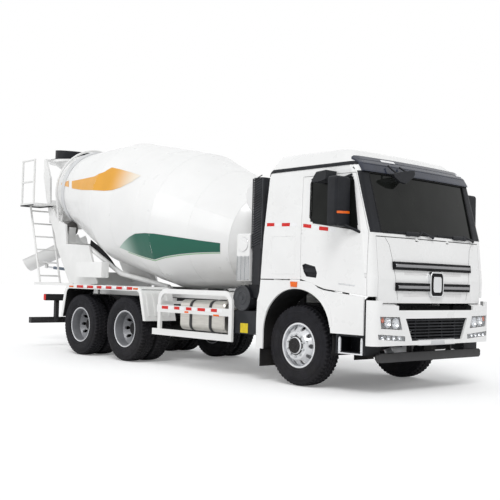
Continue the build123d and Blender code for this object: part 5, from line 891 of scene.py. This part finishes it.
# Side guards and rear fenders: dashes and amber lamps
GUARD_BAND = (938, 893)
FENDER_BAND = (1208, 1163)
FENDER_RED = ((-5348, -5142), (-5016, -4829), (-4707, -4565), (-4431, -4264), (-4119, -3956), (-3816, -3664))
FENDER_WHITE = ((-5132, -5026), (-4819, -4717), (-4555, -4441), (-4254, -4129), (-3946, -3826))
for side, sign in SIDES:
    far = sign * 1500
    for x0, x1 in ((-2862, -2702), (-2552, -2422), (-2264, -2132), (-1993, -1819), (-1685, -1550)):
        patch((x0, x1), GUARD_BAND, far, "side_guards")
        patch((x1 + 5, x1 + 105), GUARD_BAND, far, "side_guards", slot=1)
    form.piece(f"guard_dashes_{side}", "chassis", RED, SILVER_TAPE, slot="white_guard")
    for x0, x1, z in ((-1637, -1503, 846), (-2300, -2200, 866)):
        outline = ((x0, z - 13), (x1, z - 13), (x1 - 5, z + 13), (x0 + 5, z + 13))
        form.prism(outline, "y", sign * 1238, sign * 1246)
    form.piece(f"guard_lamps_{side}", "chassis", AMBER, bevel=3)
    for slot, spans in enumerate((FENDER_RED, FENDER_WHITE)):
        for span in spans:
            patch(span, FENDER_BAND, far, "rear_fenders", slot=slot, lift=1.5)
    for span in ((-5597, -5460), (-3632, -3506)):
        patch(span, (1196, 1168), far, "rear_fenders", slot=2, lift=4)
    form.piece(f"fender_dashes_{side}", "chassis", RED, SILVER_TAPE, AMBER, thick=2, slot="white_guard")

# Fuel tank: straps and caps
TANK_Y, TANK_Z = -905, 822
for x in (-2200, -1750):
    loop = []
    for k in range(40):
        turn = pi / 2 * (k % 10) / 9 + pi / 2 * (k // 10)
        side_y, side_z = ((1, 1), (-1, 1), (-1, -1), (1, -1))[k // 10]
        loop.append((TANK_Y + side_y * 190 + 104 * cos(turn), TANK_Z + side_z * 127.5 + 104 * sin(turn)))
    form.sheet([[(x + dx, y, z) for y, z in loop + loop[:1]] for dx in (-28, 28)])
form.piece("tank_straps", "chassis", CHASSIS, thick=5)
form.lathe([(0, 62), (6, 62), (6, 52), (34, 52), (40, 46), (40, 20), (46, 18), (46, 0.1)],
           (-1620, TANK_Y, 1046), (0, 0, 1), 40)
form.lathe([(0, 40), (5, 40), (5, 22), (14, 22), (14, 0.1)], (-1900, TANK_Y, 1048), (0, 0, 1), 30)
form.piece("tank_cap", "chassis", CHROME)

# Column intake: slanted louvres on its outer face and the blank yellow label
LOUVRE_Z = [1830 + 34 * k for k in range(28)]
for z in LOUVRE_Z:
    form.rod((-900, -1186, z), (-735, -1186, z + 60), 7)
for x in (-915, -722):
    form.rod((x, -1184, 1800), (x, -1184, 2770), 9, 8)
for z in LOUVRE_Z:
    form.rod((-934, -1170, z), (-934, -920, z + 50), 6)
form.piece("intake_louvres", "chassis", LOUVRE)
form.prism([(-1099, 630), (-944, 630), (-944, 762), (-1099, 762)], "y", -1190.5, -1193)
form.piece("blank_label_side", "chassis", YELLOW, bevel=1)

# Cooler: fins and fan guard
for k in range(44):
    z = 1362 + 7.6 * k
    form.rod((-1190, -1203, z), (-946, -1203, z), 1.7, 4)
for x in range(-1188, -940, 80):
    form.rod((x, -1205, 1356), (x, -1205, 1700), 4)
form.piece("cooler_fins", "chassis", GREY)
for r in (30, 52, 74, 96):
    form.tube(circle(-1068, -1206, 1860, r, 40), 2.4, 6, ring=True)
for spoke in zip(circle(-1068, -1205, 1860, 20, 8), circle(-1068, -1205, 1860, 100, 8)):
    form.tube(spoke, 2.4, 6)
form.piece("fan_guard", "chassis", ROD)

# Water tank bands and drum drive hoses
for y in (-620, 0, 620):
    form.lathe([(-26, 266), (-26, 270), (26, 270), (26, 266)], (-1140, y, 2580), (0, 1, 0), 80)
form.piece("water_tank_bands", "chassis", GUARD)
for y, z in ((-300, 1780), (-240, 1700), (250, 1760), (310, 1690)):
    route = [(-1290, y, z), (-1180, y * 1.3, z - 60), (-1120, y * 1.5, z - 240), (-1150, y * 1.2, z - 420),
             (-1240, y, z - 520)]
    form.tube([tuple(p) for p in between(route, 24)], 15)
form.piece("drive_hoses", "chassis", HOSE)

# Rear: lamps and the grating of the platform
for sign in (-1, 1):
    for y0, y1, slot in ((955, 830, 0), (826, 760, 1), (756, 690, 0)):
        outline = ((y0, 902), (y1, 902), (y1, 1002), (y0, 1002))
        form.prism([(sign * y, z) for y, z in outline], "x", -6992, -7002, slot)
    form.prism([(-6990, 898), (-6912, 898), (-6912, 1008), (-6990, 1008)], "y", sign * 961, sign * 972)
form.piece("tail_lamps", "chassis", RED, AMBER, bevel=4)
for x in [-7745 + 21.5 * k for k in range(24)]:
    form.rod((x, -1118, 2767), (x, -692, 2767), 3)
for y in range(-1110, -700, 51):
    form.rod((-7748, y, 2768), (-7252, y, 2768), 3)
form.piece("platform_grating", "chassis", GUARD)

# Arch liners, and black strips of painted shade under the drum's tail
for side, sign in SIDES:
    turns = [radians(-14 + 208 * k / 40) for k in range(41)]
    arch = [(-10 + 652 * cos(t), 602 + 652 * sin(t)) for t in turns]
    form.sheet([[(x, sign * y, z) for x, z in arch] for y in (704, 900, 1100, 1208)])
    form.box((-685, -667), sorted((sign * 756, sign * 1199)), (203, 446))
    form.piece(f"arch_liner_{side}", "chassis", LINER, thick=4)
    path = between([(-5848, 0, 642), (-5718, 0, 1196), (-3442, 0, 1196), (-3296, 0, 684)], 40)
    form.sheet([[(p.x, sign * y, p.z) for p in path] for y in (660, 900, 1100, 1222)])
    form.piece(f"rear_arch_liner_{side}", "chassis", LINER, thick=4)
    # Painted shade: a black strip just under the drum's tail darkens its underside
    low = between([(-5985, 606, 1912), (-5620, 570, 1722), (-5215, 535, 1520)], 16)
    rows = []
    for k in range(5):
        rows.append([(p.x + 12 * k, sign * (p.y + 4 * k), p.z + 34 * k * (1 - (i / 16) ** 4))
                     for i, p in enumerate(low)])
    form.sheet(rows)
    form.piece(f"splash_sheet_{side}", "chassis", LINER, thick=6)

# Hoop round the drum's tail
HOOP_S = 5.58
HOOP_R = 0.775
arch = [drum_point(HOOP_S, -200 + 220 * k / 60, HOOP_R - drum_radius(HOOP_S)) for k in range(61)]
for end in (0, -1):
    foot = arch[end].copy()
    foot.y = copysign(0.672, foot.y)
    foot.z = 2.3
    arch = [foot] + arch if end == 0 else arch + [foot]
form.tube(arch, 22, 12)
form.piece("drum_hoop", "chassis", GUARD)

# Bumper lip, air cleaner lid, platform rim and step frames
for sign in (-1, 1):
    low, high = [], []
    for y in steps(sign * 806, sign * 1100, 12):
        low.append(land(pt(1500, y, 1082), BACK, "front_bumper", -2))
        high.append((front_x(y, 1118) - 5, y, 1113))
    form.sheet([low, high])
form.piece("bumper_lip", "chassis", WHITE, thick=4)
form.lathe([(-6, 176), (4, 176), (8, 170), (8, 150), (2, 146), (2, 96), (9, 90), (9, 78), (3, 74), (3, 34),
            (14, 30), (16, 0.1)], (-1080, -1195, 1110), (0, -1, 0), 56)
for clip in zip(circle(-1080, -1199, 1110, 168, 6), circle(-1080, -1150, 1110, 186, 6)):
    form.tube(clip, 6, 6)
form.piece("cleaner_lid", "chassis", LOUVRE)
for x1, y0, y1 in ((-7248, -1122, -1108), (-7248, -704, -690), (-7738, -1120, -692)):
    form.box((-7752, x1), (y0, y1), (2712, 2734))
form.piece("platform_rim", "chassis", CHASSIS, bevel=2)
for side, sign in SIDES:
    for x in (742, 1098):
        outline = ((x, 492), (x + 34, 492), (x + 34, 660), (x + 24, 690), (x + 10, 690), (x, 660))
        form.prism(outline, "y", sign * 1196, sign * 1214)
        for z in (520, 640):
            form.bolt((x + 17, sign * 1214, z), (0, sign, 0), 9, 8)
    form.box((742, 1132), sorted((sign * 1196, sign * 1213)), (484, 500))
    form.piece(f"step_frame_{side}", "chassis", SILVER, bevel=3)

# Seats, bunk, dash and wheel replace the plain interior
DASH_SECTION = ((830, 1500), (830, 1700), (850, 1850), (900, 1915), (980, 1930), (1110, 1922), (1128, 1900))
form.sheet([[(x - 40 * (1 - (y / 1100) ** 2) * (x < 1000), y, z) for y in range(-1100, 1101, 110)]
            for x, z in DASH_SECTION])
form.prism([(80, 1280), (780, 1230), (780, 1300), (80, 1345)], "y", -1050, 1050)
form.piece("dash_panel", "cab", PLASTIC, thick=8, replaces=("cab_interior",))
wheel_mid, lean = pt(700, 600, 1960), Vector((-0.55, 0, 0.835))
one, two = Vector((0, 1, 0)), lean.cross(Vector((0, 1, 0)))


def on_wheel(turn, radius):
    """A place round the steering wheel's middle."""
    return wheel_mid + (one * cos(turn) + two * sin(turn)) * radius


form.tube([on_wheel(2 * pi * k / 48, 0.22) for k in range(48)], 14, ring=True)
for turn in (0.3, pi - 0.3, pi * 1.5):
    form.tube([wheel_mid - lean * 0.03, on_wheel(turn, 0.215)], 12, 8)
form.lathe([(-60, 40), (-20, 62), (0, 60), (6, 0.1)], wheel_mid, lean, 32)
form.tube([wheel_mid - lean * 0.03, pt(860, 600, 1730)], 30, 16)
form.piece("steering_wheel", "cab", PLASTIC)


def cushion(name, mid, size, tilt, bulge=0.35):
    """A crowned pad whose sides pull in, subdivided from a pinched cage with sewn channels."""
    nx, ny = 9, 7
    length, width, height = size
    turn = Matrix.Rotation(radians(tilt), 4, "Y")

    def cage_point(u, v, up):
        pinch = 1 - 0.05 * (u * u * v * v)
        return pt(*mid) + turn @ (Vector((u * length / 2 * pinch, v * width / 2 * pinch, up)) / 1000)

    top, low = [], []
    for u in steps(-1, 1, nx - 1):
        top.append([])
        low.append([])
        for j, v in enumerate(steps(-1, 1, ny - 1)):
            crown = (1 - u ** 4) * (1 - v ** 4)
            channel = 0.1 if j in (2, 4) else 0.0
            top[-1].append(cage_point(u, v, height / 2 * (0.55 + bulge * crown - channel * crown)))
            low[-1].append(cage_point(u, v, -height / 2 * 0.8))
    upper, lower = form.sheet(top), form.sheet(low)
    border = [(i, 0) for i in range(nx)] + [(nx - 1, j) for j in range(1, ny)]
    border += [(i, ny - 1) for i in range(nx - 2, -1, -1)] + [(0, j) for j in range(ny - 2, 0, -1)]
    for (i, j), (k, m) in zip(border, border[1:] + border[:1]):
        form.face((upper[i][j], upper[k][m], lower[k][m], lower[i][j]))
    made = form.piece(name, "cab", FABRIC, smooth=180)
    soft = made.modifiers.new("soft", "SUBSURF")
    soft.levels = soft.render_levels = 2


for side, sign in SIDES:
    cushion(f"seat_pad_{side}", (245, sign * 605, 1735), (460, 490, 120), 0)
    cushion(f"seat_back_{side}", (-5, sign * 605, 2110), (680, 470, 100), -82)
    cushion(f"head_rest_{side}", (-45, sign * 605, 2475), (150, 280, 80), -82)
    form.prism([(60, 1340), (420, 1340), (440, 1670), (40, 1670)], "y", sign * 460, sign * 750)
    form.piece(f"seat_base_{side}", "cab", PLASTIC, bevel=12)
cushion("bunk_pad", (-300, 0, 1700), (500, 2120, 110), 0, 0.2)

# Floor, light and camera
FLOOR_GLOW = 0.16
SKY_LIGHT = 0.62
PHOTO_PIXELS = 500


def link_all(tree, pairs):
    for source, target in pairs:
        tree.links.new(source, target)


bpy.ops.mesh.primitive_grid_add(x_subdivisions=8, y_subdivisions=8, size=240, location=(0, 0, -0.001))
floor = bpy.context.object
floor.name = "studio_floor"
paper, tree, shader = new_tree("studio_paper")
shader.inputs["Base Color"].default_value = (0.96, 0.96, 0.96, 1)
shader.inputs["Roughness"].default_value = 0.9
shader.inputs["Specular IOR Level"].default_value = 0.1
total = add(tree, "AddShader")
glow = add(tree, "Emission")
ray = add(tree, "LightPath")
strength = add(tree, "Math", {1: FLOOR_GLOW}, operation="MULTIPLY")
link_all(tree, (
    (ray.outputs["Is Camera Ray"], strength.inputs[0]),
    (strength.outputs[0], glow.inputs["Strength"]),
    (shader.outputs[0], total.inputs[0]),
    (glow.outputs[0], total.inputs[1]),
    (total.outputs[0], tree.nodes["Material Output"].inputs["Surface"]),
))
floor.data.materials.append(paper)

world = bpy.data.worlds.new("studio_sky")
bpy.context.scene.world = world
world.use_nodes = True
tree = world.node_tree
for node in list(tree.nodes):
    tree.nodes.remove(node)
out = add(tree, "OutputWorld")
mixer = add(tree, "MixShader")
soft_light = add(tree, "Background", {"Color": (0.98, 0.99, 1.0, 1), "Strength": SKY_LIGHT})
seen = add(tree, "Background", {"Color": (1, 1, 1, 1), "Strength": 1.0})
ray = add(tree, "LightPath")
first = add(tree, "Math", operation="ADD", use_clamp=True)
second = add(tree, "Math", operation="ADD", use_clamp=True)
link_all(tree, (
    (ray.outputs["Is Camera Ray"], first.inputs[0]),
    (ray.outputs["Is Glossy Ray"], first.inputs[1]),
    (first.outputs[0], second.inputs[0]),
    (ray.outputs["Is Transmission Ray"], second.inputs[1]),
    (second.outputs[0], mixer.inputs["Fac"]),
    (soft_light.outputs[0], mixer.inputs[1]),
    (seen.outputs[0], mixer.inputs[2]),
    (mixer.outputs[0], out.inputs["Surface"]),
))


def sun(name, strength, place, width):
    """A wide, soft sun that shines at the middle of the cab's height."""
    data = bpy.data.lights.new(name, "SUN")
    data.energy = strength
    data.angle = radians(width)
    made = stand(name, data)
    made.location = place
    made.rotation_euler = (Vector((0, 0, 1)) - Vector(place)).to_track_quat("-Z", "Y").to_euler()


sun("key_sun", 1.25, (9, -9, 14), 24)
sun("side_sun", 0.35, (-6, -14, 6), 30)

# The photo's camera, as it was solved: turns in radians, the focal length in pixels of its 500-pixel frame
yaw, pitch, roll, focal = 2.4004, 0.0376, 0.0255, 870.34
forward = Vector((cos(yaw) * cos(pitch), sin(yaw) * cos(pitch), sin(pitch)))
right = Vector((sin(yaw), -cos(yaw), 0))
up = right.cross(forward)
tilt_right = right * cos(roll) + up * sin(roll)
tilt_up = up * cos(roll) - right * sin(roll)
eye = bpy.data.cameras.new("eye")
camera = stand("eye", eye)
eye.sensor_width = 36
eye.lens = 36 * focal / PHOTO_PIXELS
eye.clip_end = 500
place = Vector((7.9484 + FX, -9.3267, 1.3259))
camera.matrix_world = Matrix((
    (tilt_right.x, tilt_up.x, -forward.x, place.x),
    (tilt_right.y, tilt_up.y, -forward.y, place.y),
    (tilt_right.z, tilt_up.z, -forward.z, place.z),
    (0, 0, 0, 1),
))
bpy.context.scene.camera = camera
bpy.context.scene.view_settings.view_transform = "Standard"
